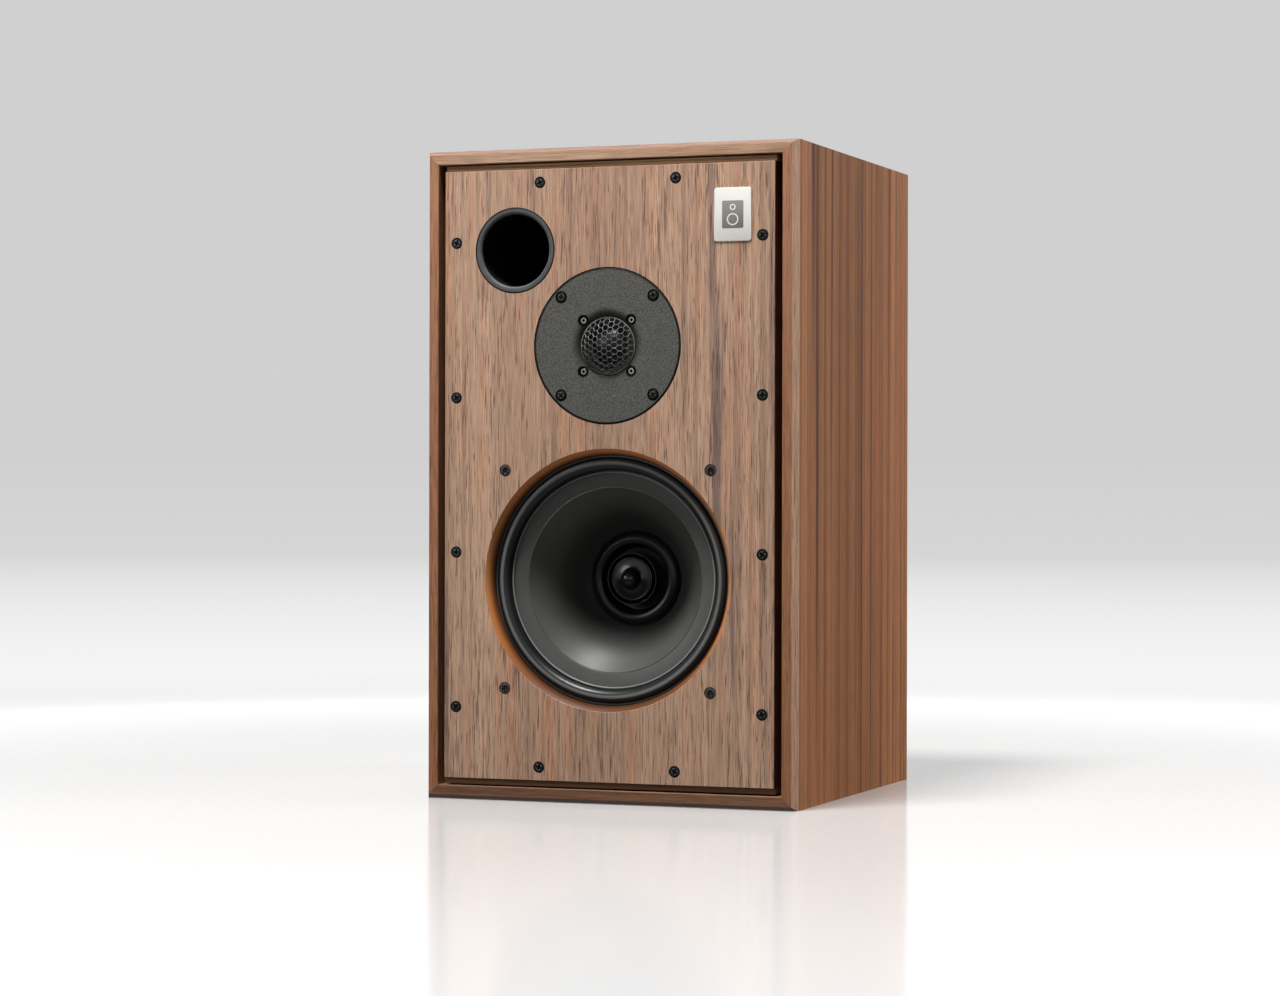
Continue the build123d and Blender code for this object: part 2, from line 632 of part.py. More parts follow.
# Cone: flat lip, shallow shoulder, deep flare down to the voice coil
with BuildPart() as woofer_cone:
    rim = (CONE_RIM_RADIUS, CONE_LIP_DEPTH)
    lip = (CONE_LIP_RADIUS, CONE_LIP_DEPTH)
    neck = (FORMER_RADIUS, CONE_NECK_DEPTH)
    flare = (CONE_SHOULDER, CONE_MIDDLE, CONE_THROAT)
    with BuildSketch(turning(WOOFER)):
        with BuildLine():
            Polyline(rim, lip, CONE_SHOULDER)
            Spline(*flare)
            Polyline(CONE_THROAT, neck, behind(neck), behind(CONE_THROAT))
            Spline(*[behind(point) for point in reversed(flare)])
            Polyline(behind(CONE_SHOULDER), behind(lip), behind(rim), rim)
        make_face()
    revolve(axis=centre_line(WOOFER))
write(woofer_cone, "woofer_cone")

with BuildPart() as woofer_neck_ring:
    throat_slope = (CONE_NECK_DEPTH - CONE_THROAT[1]) / (CONE_THROAT[0] - FORMER_RADIUS)
    ring_foot = (NECK_RING_INNER, CONE_THROAT[1] + throat_slope * (CONE_THROAT[0] - NECK_RING_INNER))
    with BuildSketch(turning(WOOFER)):
        with BuildLine():
            crest = ((NECK_RING_INNER + CONE_THROAT[0]) / 2, NECK_RING_CREST_DEPTH)
            Spline(CONE_THROAT, crest, ring_foot, tangents=((-1, -1.4), (-0.3, 1)))
            Line(ring_foot, CONE_THROAT)
        make_face()
    revolve(axis=centre_line(WOOFER))
write(woofer_neck_ring, "woofer_neck_ring")

with BuildPart() as woofer_voice_coil:
    with BuildSketch(facing(FORMER_FRONT, WOOFER)):
        Circle(FORMER_RADIUS)
        Circle(FORMER_RADIUS - FORMER_THICKNESS, mode=Mode.SUBTRACT)
    extrude(amount=FORMER_FRONT - FORMER_BACK)
    coil_front = BASKET_BACK + (WOOFER_PLATE_THICKNESS - WINDING_LENGTH) / 2
    with BuildSketch(facing(coil_front, WOOFER)):
        Circle(FORMER_RADIUS + WINDING_THICKNESS)
        Circle(FORMER_RADIUS - FORMER_THICKNESS, mode=Mode.SUBTRACT)
    extrude(amount=-WINDING_LENGTH)
write(woofer_voice_coil, "woofer_voice_coil")


def spider_front(radius):
    """Depth of the spider's front face at a radius: waves that die out at its two edges."""
    share = (radius - FORMER_RADIUS) / (SPIDER_SEAT_RADIUS - FORMER_RADIUS)
    swing = SPIDER_WAVE * math.sin(2 * math.pi * SPIDER_WAVES * share) if 0 < share < 1 else 0
    return SPIDER_SEAT_DEPTH - SPIDER_THICKNESS - swing


with BuildPart() as woofer_spider:
    steps = 8 * SPIDER_WAVES
    reach = SPIDER_SEAT_RADIUS - FORMER_RADIUS
    crests = [(r, spider_front(r)) for r in [FORMER_RADIUS + reach * i / steps for i in range(steps + 1)]]
    with BuildSketch(turning(WOOFER)):
        with BuildLine():
            Spline(*crests)
            Polyline(
                crests[-1],
                (SPIDER_RADIUS, SPIDER_SEAT_DEPTH - SPIDER_THICKNESS),
                (SPIDER_RADIUS, SPIDER_SEAT_DEPTH),
                (SPIDER_SEAT_RADIUS, SPIDER_SEAT_DEPTH),
            )
            Spline(*[(r, depth + SPIDER_THICKNESS) for r, depth in reversed(crests)])
            Line((FORMER_RADIUS, SPIDER_SEAT_DEPTH), crests[0])
        make_face()
    revolve(axis=centre_line(WOOFER))
write(woofer_spider, "woofer_spider")

# Woofer motor
coil_gap = WOOFER_POLE_RADIUS + 2.7
write_ring("woofer_top_plate", WOOFER, WOOFER_PLATE_RADIUS, coil_gap, BASKET_BACK, WOOFER_GAP_DEPTH)
write_ring(
    "woofer_magnet", WOOFER, WOOFER_MAGNET_RADIUS, WOOFER_MAGNET_BORE, WOOFER_GAP_DEPTH, WOOFER_MAGNET_BACK
)
with BuildPart() as woofer_back_plate:
    with BuildSketch(facing(WOOFER_MAGNET_BACK, WOOFER)):
        Circle(WOOFER_MAGNET_RADIUS - 1.0)
    extrude(amount=-WOOFER_PLATE_THICKNESS)
    fillet(woofer_back_plate.faces().sort_by(Axis.Y)[-1].edges(), radius=2.0)
    with BuildSketch(facing(BASKET_BACK, WOOFER)):
        Circle(WOOFER_POLE_RADIUS)
    extrude(amount=BASKET_BACK - WOOFER_MAGNET_BACK)
write(woofer_back_plate, "woofer_back_plate")

# Fixed plug on the pole: a flat-faced cylinder with a rounded tip
with BuildPart() as woofer_phase_plug:
    tip_side = (PLUG_TIP_RADIUS, PLUG_TIP_DEPTH + PLUG_TIP_RADIUS)
    with BuildSketch(turning(WOOFER)):
        with BuildLine():
            tip_middle = (
                PLUG_TIP_RADIUS * math.sin(math.pi / 4),
                PLUG_TIP_DEPTH + PLUG_TIP_RADIUS * (1 - math.cos(math.pi / 4)),
            )
            ThreePointArc((0, PLUG_TIP_DEPTH), tip_middle, tip_side)
            foot = JernArc(tip_side, (0, 1), 4.2, -80)
            face = Line(foot @ 1, (PLUG_RADIUS - 1.2, PLUG_FACE_DEPTH))
            edge_end = (PLUG_RADIUS, PLUG_FACE_DEPTH + 1.2)
            ThreePointArc(face @ 1, (PLUG_RADIUS - 0.35, PLUG_FACE_DEPTH + 0.35), edge_end)
            Polyline(edge_end, (PLUG_RADIUS, BASKET_BACK), (0, BASKET_BACK), (0, PLUG_TIP_DEPTH))
        make_face()
    revolve(axis=centre_line(WOOFER))
write(woofer_phase_plug, "woofer_phase_plug")

bolt = cross_head_screw(BOLT_HEAD_RADIUS, BOLT_SHANK_RADIUS, BOLT_LENGTH)
write_screws("woofer_bolts", bolt, BOLT_PLACES, 0)

with BuildPart() as woofer_nuts:
    with BuildSketch(facing(FLANGE_BACK, WOOFER)):
        with PolarLocations(BOLT_RADIUS, 4, start_angle=45):
            RegularPolygon(NUT_FLATS / 2, 6, major_radius=False)
            Circle(BOLT_SHANK_RADIUS, mode=Mode.SUBTRACT)
    extrude(amount=-NUT_HEIGHT)
write(woofer_nuts, "woofer_nuts")

with BuildPart() as woofer_terminals:
    with BuildSketch(facing(SPIDER_SEAT_DEPTH, WOOFER)):
        with Locations((0, BASKET_BACK_RADIUS + 3.0)):
            Rectangle(24.0, 12.0)
        Circle(BASKET_BACK_RADIUS, mode=Mode.SUBTRACT)
    extrude(amount=SPIDER_SEAT_DEPTH - BASKET_BACK)
write(woofer_terminals, "woofer_terminals")

# Tweeter faceplate: flat, with a shallow flare down to the guard's seat
with BuildPart() as tweeter_faceplate:
    with BuildSketch(turning(TWEETER)):
        with BuildLine():
            Polyline(
                (FACEPLATE_BORE, GUARD_SEAT_DEPTH),
                (FACEPLATE_BORE, FACEPLATE_BOSS_DEPTH),
                (FACEPLATE_BOSS_RADIUS, FACEPLATE_BOSS_DEPTH),
                (FACEPLATE_BOSS_RADIUS, FACEPLATE_THICKNESS),
                (FACEPLATE_RADIUS, FACEPLATE_THICKNESS),
                (FACEPLATE_RADIUS, 0),
                (FLARE_RADIUS, 0),
            )
            Spline(
                (FLARE_RADIUS, 0),
                (GUARD_RADIUS + 0.2, GUARD_SEAT_DEPTH - 0.4),
                tangents=((-1, 0.02), (-0.75, 1)),
            )
            Polyline(
                (GUARD_RADIUS + 0.2, GUARD_SEAT_DEPTH - 0.4),
                (GUARD_RADIUS + 0.2, GUARD_SEAT_DEPTH),
                (FACEPLATE_BORE, GUARD_SEAT_DEPTH),
            )
        make_face()
    revolve(axis=centre_line(TWEETER))
    rim_edge = tweeter_faceplate.faces().sort_by(Axis.Y)[0].edges().sort_by(SortBy.RADIUS)[-1]
    fillet(rim_edge, radius=0.5)
    with BuildSketch(facing(0, TWEETER)):
        square_of_holes(TWEETER_SCREW_OFFSET, TWEETER_SCREW_BORE)
    extrude(amount=-TWEETER_SCREW_SINK, mode=Mode.SUBTRACT)
    with BuildSketch(facing(0, TWEETER)):
        square_of_holes(TWEETER_INNER_OFFSET, TWEETER_INNER_BORE)
    extrude(amount=-TWEETER_INNER_SINK, mode=Mode.SUBTRACT)
    with BuildSketch(facing(0, TWEETER)):
        square_of_holes(TWEETER_SCREW_OFFSET, SCREW_SHANK_RADIUS + HOLE_CLEARANCE)
        square_of_holes(TWEETER_INNER_OFFSET, SMALL_SCREW_RADIUS + HOLE_CLEARANCE)
    extrude(amount=-FACEPLATE_BOSS_DEPTH, mode=Mode.SUBTRACT)
write(tweeter_faceplate, "tweeter_faceplate")

# Domed guard with hexagonal holes
sagitta = GUARD_SEAT_DEPTH - 0.4 - GUARD_APEX
GUARD_SPHERE = (GUARD_RADIUS**2 + sagitta**2) / (2 * sagitta)


def on_guard(radius, inset):
    """Point of the guard's dome at a radius, with inset 0 outside and GUARD_WIRE inside."""
    sphere = GUARD_SPHERE - inset
    return (radius, GUARD_APEX + GUARD_SPHERE - math.sqrt(sphere**2 - radius**2))


column_step = GUARD_PITCH * math.cos(math.pi / 6)
reach_in_steps = int(GUARD_RADIUS / column_step) + 1
HEX_PLACES = [
    (column * column_step, (row + 0.5 * (column % 2)) * GUARD_PITCH)
    for column in range(-reach_in_steps, reach_in_steps + 1)
    for row in range(-reach_in_steps, reach_in_steps + 1)
    if math.hypot(column * column_step, (row + 0.5 * (column % 2)) * GUARD_PITCH) < GUARD_OPEN_RADIUS
]
with BuildPart() as tweeter_guard:
    inner_edge_radius = GUARD_RADIUS - 0.5
    with BuildSketch(turning(TWEETER)):
        with BuildLine():
            ThreePointArc((0, GUARD_APEX), on_guard(GUARD_RADIUS / 2, 0), on_guard(GUARD_RADIUS, 0))
            Polyline(
                on_guard(GUARD_RADIUS, 0),
                (GUARD_RADIUS, GUARD_SEAT_DEPTH),
                (inner_edge_radius, GUARD_SEAT_DEPTH),
                on_guard(inner_edge_radius, GUARD_WIRE),
            )
            ThreePointArc(
                on_guard(inner_edge_radius, GUARD_WIRE),
                on_guard(inner_edge_radius / 2, GUARD_WIRE),
                (0, GUARD_APEX + GUARD_WIRE),
            )
            Line((0, GUARD_APEX + GUARD_WIRE), (0, GUARD_APEX))
        make_face()
    revolve(axis=centre_line(TWEETER))
    with BuildSketch(facing(GUARD_SEAT_DEPTH, TWEETER)):
        with Locations(*HEX_PLACES):
            RegularPolygon((GUARD_PITCH - GUARD_WIRE) / 2, 6, major_radius=False)
    extrude(amount=GUARD_SEAT_DEPTH - GUARD_APEX + 1.0, mode=Mode.SUBTRACT)
write(tweeter_guard, "tweeter_guard")

# Moving dome, its soft edge and its coil
DOME_BASE = TWEETER_PLATE_DEPTH - 0.2
DOME_SPHERE = (DOME_RADIUS**2 + DOME_HEIGHT**2) / (2 * DOME_HEIGHT)


def on_dome(radius, inset):
    """Point of the dome at a radius, with inset 0 outside and DOME_THICKNESS inside."""
    sphere = DOME_SPHERE - inset
    return (radius, DOME_BASE - DOME_HEIGHT + DOME_SPHERE - math.sqrt(sphere**2 - radius**2))


with BuildPart() as tweeter_dome:
    inner_radius = DOME_RADIUS - DOME_THICKNESS
    with BuildSketch(turning(TWEETER)):
        with BuildLine():
            ThreePointArc(on_dome(0, 0), on_dome(DOME_RADIUS / 2, 0), on_dome(DOME_RADIUS, 0))
            Line(on_dome(DOME_RADIUS, 0), on_dome(inner_radius, DOME_THICKNESS))
            ThreePointArc(
                on_dome(inner_radius, DOME_THICKNESS),
                on_dome(inner_radius / 2, DOME_THICKNESS),
                on_dome(0, DOME_THICKNESS),
            )
            Line(on_dome(0, DOME_THICKNESS), on_dome(0, 0))
        make_face()
    revolve(axis=centre_line(TWEETER))
write(tweeter_dome, "tweeter_dome")

with BuildPart() as tweeter_surround:
    with BuildSketch(turning(TWEETER)):
        with BuildLine():
            roll_outer = FACEPLATE_BORE - 0.4
            roll_inner = DOME_RADIUS + 0.1
            roll_middle = (roll_outer + roll_inner) / 2
            back = FACEPLATE_BOSS_DEPTH + TWEETER_SURROUND_THICKNESS
            height = (roll_outer - roll_inner) / 2
            Polyline((FACEPLATE_BORE + 3.5, back), (FACEPLATE_BORE + 3.5, FACEPLATE_BOSS_DEPTH))
            Line((FACEPLATE_BORE + 3.5, FACEPLATE_BOSS_DEPTH), (roll_outer, FACEPLATE_BOSS_DEPTH))
            ThreePointArc(
                (roll_outer, FACEPLATE_BOSS_DEPTH),
                (roll_middle, FACEPLATE_BOSS_DEPTH - height),
                (roll_inner, FACEPLATE_BOSS_DEPTH),
            )
            Line((roll_inner, FACEPLATE_BOSS_DEPTH), (roll_inner, back))
            Line((roll_inner, back), (roll_inner + TWEETER_SURROUND_THICKNESS, back))
            ThreePointArc(
                (roll_inner + TWEETER_SURROUND_THICKNESS, back),
                (roll_middle, back - height + 0.1),
                (roll_outer - TWEETER_SURROUND_THICKNESS, back),
            )
            Line((roll_outer - TWEETER_SURROUND_THICKNESS, back), (FACEPLATE_BORE + 3.5, back))
        make_face()
    revolve(axis=centre_line(TWEETER))
write(tweeter_surround, "tweeter_surround")

with BuildPart() as tweeter_voice_coil:
    with BuildSketch(facing(DOME_BASE + 0.2, TWEETER)):
        Circle(DOME_RADIUS)
        Circle(DOME_RADIUS - 0.2, mode=Mode.SUBTRACT)
    extrude(amount=-4.0)
    with BuildSketch(facing(TWEETER_PLATE_DEPTH + 1.0, TWEETER)):
        Circle(DOME_RADIUS + 0.4)
        Circle(DOME_RADIUS - 0.2, mode=Mode.SUBTRACT)
    extrude(amount=-2.0)
write(tweeter_voice_coil, "tweeter_voice_coil")

# Tweeter motor and rear chamber
with BuildPart() as tweeter_top_plate:
    with BuildSketch(facing(TWEETER_PLATE_DEPTH, TWEETER)):
        Circle(TWEETER_MAGNET_RADIUS)
        Circle(DOME_RADIUS + 1.0, mode=Mode.SUBTRACT)
        with GridLocations(2 * TWEETER_INNER_OFFSET, 2 * TWEETER_INNER_OFFSET, 2, 2):
            Circle(SMALL_SCREW_RADIUS, mode=Mode.SUBTRACT)
    extrude(amount=-TWEETER_PLATE_THICKNESS)
write(tweeter_top_plate, "tweeter_top_plate")
write_ring(
    "tweeter_magnet",
    TWEETER,
    TWEETER_MAGNET_RADIUS,
    TWEETER_MAGNET_BORE,
    TWEETER_MAGNET_DEPTH,
    TWEETER_BACK_DEPTH,
)
with BuildPart() as tweeter_back_plate:
    with BuildSketch(facing(TWEETER_BACK_DEPTH, TWEETER)):
        Circle(TWEETER_MAGNET_RADIUS - 1.0)
    extrude(amount=-TWEETER_BACK_THICKNESS)
    pole_front = TWEETER_PLATE_DEPTH + TWEETER_POLE_SETBACK
    with BuildSketch(facing(pole_front, TWEETER)):
        Circle(TWEETER_POLE_RADIUS)
    extrude(amount=pole_front - TWEETER_BACK_DEPTH)
    with BuildSketch(facing(0, TWEETER)):
        Circle(TWEETER_VENT_RADIUS)
    extrude(amount=-CHAMBER_DEPTH, mode=Mode.SUBTRACT)
write(tweeter_back_plate, "tweeter_back_plate")
with BuildPart() as tweeter_rear_chamber:
    with BuildSketch(facing(CHAMBER_DEPTH, TWEETER)):
        Circle(CHAMBER_RADIUS)
    extrude(amount=-CHAMBER_LENGTH)
    fillet(tweeter_rear_chamber.faces().sort_by(Axis.Y)[-1].edges(), radius=4.0)
    with BuildSketch(facing(CHAMBER_DEPTH, TWEETER)):
        Circle(CHAMBER_RADIUS - CHAMBER_WALL)
    extrude(amount=CHAMBER_WALL - CHAMBER_LENGTH, mode=Mode.SUBTRACT)
write(tweeter_rear_chamber, "tweeter_rear_chamber")


def square_places(place, offset):
    """Corners of a square about a place."""
    return [(place[0] + sx * offset, place[1] + sz * offset) for sx in (-1, 1) for sz in (-1, 1)]


mount_screw = cross_head_screw(TWEETER_SCREW_HEAD, SCREW_SHANK_RADIUS, TWEETER_SCREW_LENGTH, sunk=False)
mount_screw_face = TWEETER_SCREW_SINK - ROUND_HEAD_HEIGHT * TWEETER_SCREW_HEAD
mount_screw_places = square_places(TWEETER, TWEETER_SCREW_OFFSET)
write_screws("tweeter_mount_screws", mount_screw, mount_screw_places, mount_screw_face)
with BuildPart() as tweeter_inner_screws:
    inner_face = TWEETER_INNER_SINK - TWEETER_INNER_HEAD_HEIGHT
    with BuildSketch(facing(inner_face, TWEETER)):
        square_of_holes(TWEETER_INNER_OFFSET, TWEETER_INNER_HEAD)
    extrude(amount=-TWEETER_INNER_HEAD_HEIGHT)
    with BuildSketch(facing(TWEETER_INNER_SINK, TWEETER)):
        square_of_holes(TWEETER_INNER_OFFSET, SMALL_SCREW_RADIUS)
    extrude(amount=TWEETER_INNER_SINK - TWEETER_MAGNET_DEPTH)
    with BuildSketch(facing(inner_face, TWEETER)):
        with GridLocations(2 * TWEETER_INNER_OFFSET, 2 * TWEETER_INNER_OFFSET, 2, 2):
            RegularPolygon(TWEETER_INNER_SOCKET, 6)
    extrude(amount=-TWEETER_INNER_SOCKET_DEPTH, mode=Mode.SUBTRACT)
write(tweeter_inner_screws, "tweeter_inner_screws")

# Crossover board and what is on it
with BuildPart() as crossover_board:
    with BuildSketch(facing(BOARD_FRONT, BOARD)):
        RectangleRounded(BOARD_WIDTH, BOARD_HEIGHT, 3.0)
    extrude(amount=-BOARD_THICKNESS)
    with BuildSketch(facing(BOARD_FRONT)):
        with Locations(*BOARD_HOLE_PLACES):
            Circle(SMALL_SCREW_RADIUS + HOLE_CLEARANCE)
    extrude(amount=-BOARD_THICKNESS, mode=Mode.SUBTRACT)
write(crossover_board, "crossover_board")

with BuildPart() as crossover_standoffs:
    with BuildSketch(facing(BOARD_BACK)):
        with Locations(*BOARD_HOLE_PLACES):
            RegularPolygon(STANDOFF_RADIUS, 6, major_radius=False)
    extrude(amount=-BOARD_STANDOFF)
    with BuildSketch(facing(BOARD_BACK)):
        with Locations(*BOARD_HOLE_PLACES):
            Circle(SMALL_SCREW_RADIUS)
    extrude(amount=BOARD_THICKNESS + 2.0)
write(crossover_standoffs, "crossover_standoffs")

with BuildPart() as crossover_inductors:
    for place in INDUCTOR_PLACES:
        with BuildSketch(turning(place)):
            with BuildLine():
                near = BOARD_FRONT - INDUCTOR_HEIGHT
                Polyline(
                    (INDUCTOR_CORE_RADIUS, near),
                    (INDUCTOR_RADIUS, near),
                    (INDUCTOR_RADIUS, near + BOBBIN_CHEEK),
                    (INDUCTOR_RADIUS - BOBBIN_RIM, near + BOBBIN_CHEEK),
                    (INDUCTOR_RADIUS - BOBBIN_RIM, BOARD_FRONT - BOBBIN_CHEEK),
                    (INDUCTOR_RADIUS, BOARD_FRONT - BOBBIN_CHEEK),
                    (INDUCTOR_RADIUS, BOARD_FRONT),
                    (INDUCTOR_CORE_RADIUS, BOARD_FRONT),
                    close=True,
                )
            make_face()
        revolve(axis=centre_line(place))
write(crossover_inductors, "crossover_inductors")

with BuildPart() as crossover_capacitors:
    for x, z in CAPACITOR_PLACES:
        base = Plane(
            origin=(x, FRONT + BOARD_FRONT - CAPACITOR_RADIUS, z - CAPACITOR_LENGTH / 2),
            x_dir=(1, 0, 0),
            z_dir=(0, 0, 1),
        )
        with BuildSketch(base):
            Circle(CAPACITOR_RADIUS)
        extrude(amount=CAPACITOR_LENGTH)
write(crossover_capacitors, "crossover_capacitors")

with BuildPart() as crossover_resistors:
    with BuildSketch(facing(BOARD_FRONT - RESISTOR_SIZE)):
        with Locations(*RESISTOR_PLACES):
            Rectangle(RESISTOR_SIZE, RESISTOR_LENGTH)
    extrude(amount=-RESISTOR_SIZE)
write(crossover_resistors, "crossover_resistors")

# Terminal plate over the rear panel's window
with BuildPart() as terminal_plate:
    with BuildSketch(facing(REAR_FACE, TERMINAL)):
        RectangleRounded(TERMINAL_WIDTH, TERMINAL_HEIGHT, TERMINAL_CORNER)
    extrude(amount=-TERMINAL_THICKNESS)
    chamfer(terminal_plate.faces().sort_by(Axis.Y)[-1].edges(), length=0.6)
    with BuildSketch(facing(TERMINAL_FACE, TERMINAL)):
        with GridLocations(POST_SPACING, 0, 2, 1):
            Circle(POST_BOSS_RADIUS)
    extrude(amount=-POST_BOSS_HEIGHT)
    with BuildSketch(facing(REAR_FACE, TERMINAL)):
        with GridLocations(POST_SPACING, 0, 2, 1):
            Circle(POST_RADIUS + POST_RUNNING_CLEARANCE)
    extrude(amount=REAR_FACE - POST_SEAT, mode=Mode.SUBTRACT)
    cut_countersinks(
        TERMINAL_SCREW_PLACES, TERMINAL_FACE, SCREW_HEAD_RADIUS - 0.6, SCREW_SHANK_RADIUS, from_behind=True
    )
write(terminal_plate, "terminal_plate")
plate_screw = cross_head_screw(SCREW_HEAD_RADIUS - 0.6, SCREW_SHANK_RADIUS, 18.0)
write_screws("terminal_plate_screws", plate_screw, TERMINAL_SCREW_PLACES, TERMINAL_FACE, from_behind=True)

# Binding posts: threaded studs with a socket for a banana plug and a cross hole for bare wire
with BuildPart() as binding_posts:
    post_back = REAR_FACE - POST_INSIDE_LENGTH
    post_end = KNOB_END - 0.5
    with BuildSketch(facing(post_back, TERMINAL)):
        with GridLocations(POST_SPACING, 0, 2, 1):
            Circle(POST_RADIUS)
    extrude(amount=post_back - post_end)
    with BuildSketch(facing(post_end, TERMINAL)):
        with GridLocations(POST_SPACING, 0, 2, 1):
            Circle(BANANA_RADIUS)
    extrude(amount=BANANA_DEPTH, mode=Mode.SUBTRACT)
    cross_hole_plane = Plane(
        origin=(0, FRONT + POST_SEAT + WIRE_HOLE_RADIUS, TERMINAL[1]), x_dir=(0, 1, 0), z_dir=(1, 0, 0)
    )
    with BuildSketch(cross_hole_plane):
        Circle(WIRE_HOLE_RADIUS)
    extrude(amount=POST_SPACING, both=True, mode=Mode.SUBTRACT)
write(binding_posts, "binding_posts")

with BuildPart() as post_nuts:
    with BuildSketch(facing(REAR_FACE - NUT_HEIGHT, TERMINAL)):
        with GridLocations(POST_SPACING, 0, 2, 1):
            RegularPolygon(POST_NUT_FLATS / 2, 6, major_radius=False)
            Circle(POST_RADIUS, mode=Mode.SUBTRACT)
    extrude(amount=-NUT_HEIGHT)
write(post_nuts, "post_nuts")

# Each knob screws along its post and carries a clamp washer in front of it
for polarity, x in POST_PLACES.items():
    write_ring(
        f"{polarity}_clamp_washer",
        (x, TERMINAL[1]),
        CLAMP_RADIUS,
        POST_RADIUS + POST_RUNNING_CLEARANCE,
        POST_SEAT,
        KNOB_SEAT,
    )
    with BuildPart() as knob:
        with BuildSketch(facing(KNOB_SEAT, (x, TERMINAL[1]))):
            Circle(KNOB_RADIUS)
        extrude(amount=-KNOB_LENGTH)
        chamfer(knob.edges().filter_by(GeomType.CIRCLE), length=1.0)
        with BuildSketch(facing(KNOB_SEAT, (x, TERMINAL[1]))):
            Circle(POST_RADIUS + POST_RUNNING_CLEARANCE)
            with PolarLocations(KNOB_RADIUS + 0.4, KNOB_FLUTES):
                Circle(KNOB_FLUTE_RADIUS)
        extrude(amount=-KNOB_LENGTH, mode=Mode.SUBTRACT)
    write(knob, f"{polarity}_knob")

# Wires: posts to board, board to woofer, board to tweeter
terminal_top = WOOFER[1] + BASKET_BACK_RADIUS + 9.0
block_middle = (SPIDER_SEAT_DEPTH + BASKET_BACK) / 2
wire_floor = BOARD_FRONT - 22.0
WIRE_ROUTES = [
    (
        (post_back, TERMINAL[1]),
        (wire_floor, TERMINAL[1]),
        (wire_floor, BOARD[1] - 52.0),
        (BOARD_FRONT, BOARD[1] - 52.0),
    ),
    ((BOARD_FRONT, BOARD[1] - 60.0), (block_middle, BOARD[1] - 60.0), (block_middle, terminal_top)),
    (
        (BOARD_FRONT, BOARD[1] + 12.0),
        (BOARD_FRONT - 40.0, BOARD[1] + 12.0),
        (BOARD_FRONT - 90.0, BOARD[1] - 10.0),
        (CHAMBER_DEPTH + CHAMBER_LENGTH, BOARD[1] - 10.0),
    ),
]
WIRE_OFFSETS = (POST_SPACING / 2, 6.0, 6.0)
with BuildPart() as internal_wires:
    for route, offset in zip(WIRE_ROUTES, WIRE_OFFSETS):
        for x in (-offset, offset):
            with BuildLine() as path:
                FilletPolyline(*[(x, FRONT + depth, z) for depth, z in route], radius=WIRE_BEND)
            with BuildSketch(path.line ^ 0):
                Circle(WIRE_RADIUS)
            sweep(path=path.line)
write(internal_wires, "internal_wires")

# Damping pads on the side walls, with foam over them
lining_near = FRONT_BATTEN_DEPTH + BATTEN_THICKNESS + 6.0
lining_far = REAR_BATTEN_DEPTH - 6.0
with BuildPart() as damping_pads:
    with BuildSketch(facing(lining_near, (0, HEIGHT / 2))):
        with GridLocations(2 * INNER_X - PAD_THICKNESS, 0, 2, 1):
            Rectangle(PAD_THICKNESS, HEIGHT - 120.0)
    extrude(amount=lining_near - lining_far)
write(damping_pads, "damping_pads")
with BuildPart() as foam_linings:
    with BuildSketch(facing(lining_near, (0, HEIGHT / 2))):
        with GridLocations(2 * (INNER_X - PAD_THICKNESS) - FOAM_THICKNESS, 0, 2, 1):
            Rectangle(FOAM_THICKNESS, HEIGHT - 60.0)
    extrude(amount=lining_near - lining_far)
write(foam_linings, "foam_linings")
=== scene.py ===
import math

import bmesh
import bpy
import numpy as np
from mathutils import Matrix, Vector


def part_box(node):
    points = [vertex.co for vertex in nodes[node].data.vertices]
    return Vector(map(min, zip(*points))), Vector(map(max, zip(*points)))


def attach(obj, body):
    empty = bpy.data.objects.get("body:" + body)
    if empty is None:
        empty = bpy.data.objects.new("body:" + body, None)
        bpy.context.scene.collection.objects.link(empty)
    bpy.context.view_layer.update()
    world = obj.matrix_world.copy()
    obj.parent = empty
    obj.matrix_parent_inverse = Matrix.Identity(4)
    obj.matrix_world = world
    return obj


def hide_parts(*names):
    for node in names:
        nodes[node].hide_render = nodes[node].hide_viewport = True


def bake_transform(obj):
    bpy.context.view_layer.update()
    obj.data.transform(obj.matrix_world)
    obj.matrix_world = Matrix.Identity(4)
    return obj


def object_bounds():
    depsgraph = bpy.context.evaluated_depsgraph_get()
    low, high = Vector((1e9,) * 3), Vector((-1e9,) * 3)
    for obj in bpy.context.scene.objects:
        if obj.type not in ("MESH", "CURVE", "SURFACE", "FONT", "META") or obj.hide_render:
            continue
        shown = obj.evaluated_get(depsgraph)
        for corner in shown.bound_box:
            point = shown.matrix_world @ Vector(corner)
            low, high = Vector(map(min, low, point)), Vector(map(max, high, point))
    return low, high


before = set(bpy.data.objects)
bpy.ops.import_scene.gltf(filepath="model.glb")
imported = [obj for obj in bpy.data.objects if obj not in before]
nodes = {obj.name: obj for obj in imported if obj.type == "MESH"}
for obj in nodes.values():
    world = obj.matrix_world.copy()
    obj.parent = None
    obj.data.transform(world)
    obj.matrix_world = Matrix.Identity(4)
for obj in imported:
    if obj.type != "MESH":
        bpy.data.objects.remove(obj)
cad_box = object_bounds()

# Lengths are in millimetres where MM turns them into metres, or where a function says so.
# Depths are measured back from the front of the baffle.
MM = 0.001
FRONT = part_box("front_baffle")[0].y


def middle(node):
    """Middle of a CAD node's box, in metres."""
    low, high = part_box(node)
    return (low + high) / 2


def reach(node):
    """Radius of a round CAD node that is turned about a front-to-back axis, in millimetres."""
    low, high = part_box(node)
    return (high.x - low.x) / 2 / MM


def depth_of(y):
    """Depth of a place behind the front of the baffle, in millimetres."""
    return (y - FRONT) / MM


WOOFER = middle("woofer_cone")
TWEETER = middle("tweeter_faceplate")
PORT = middle("port_tube")

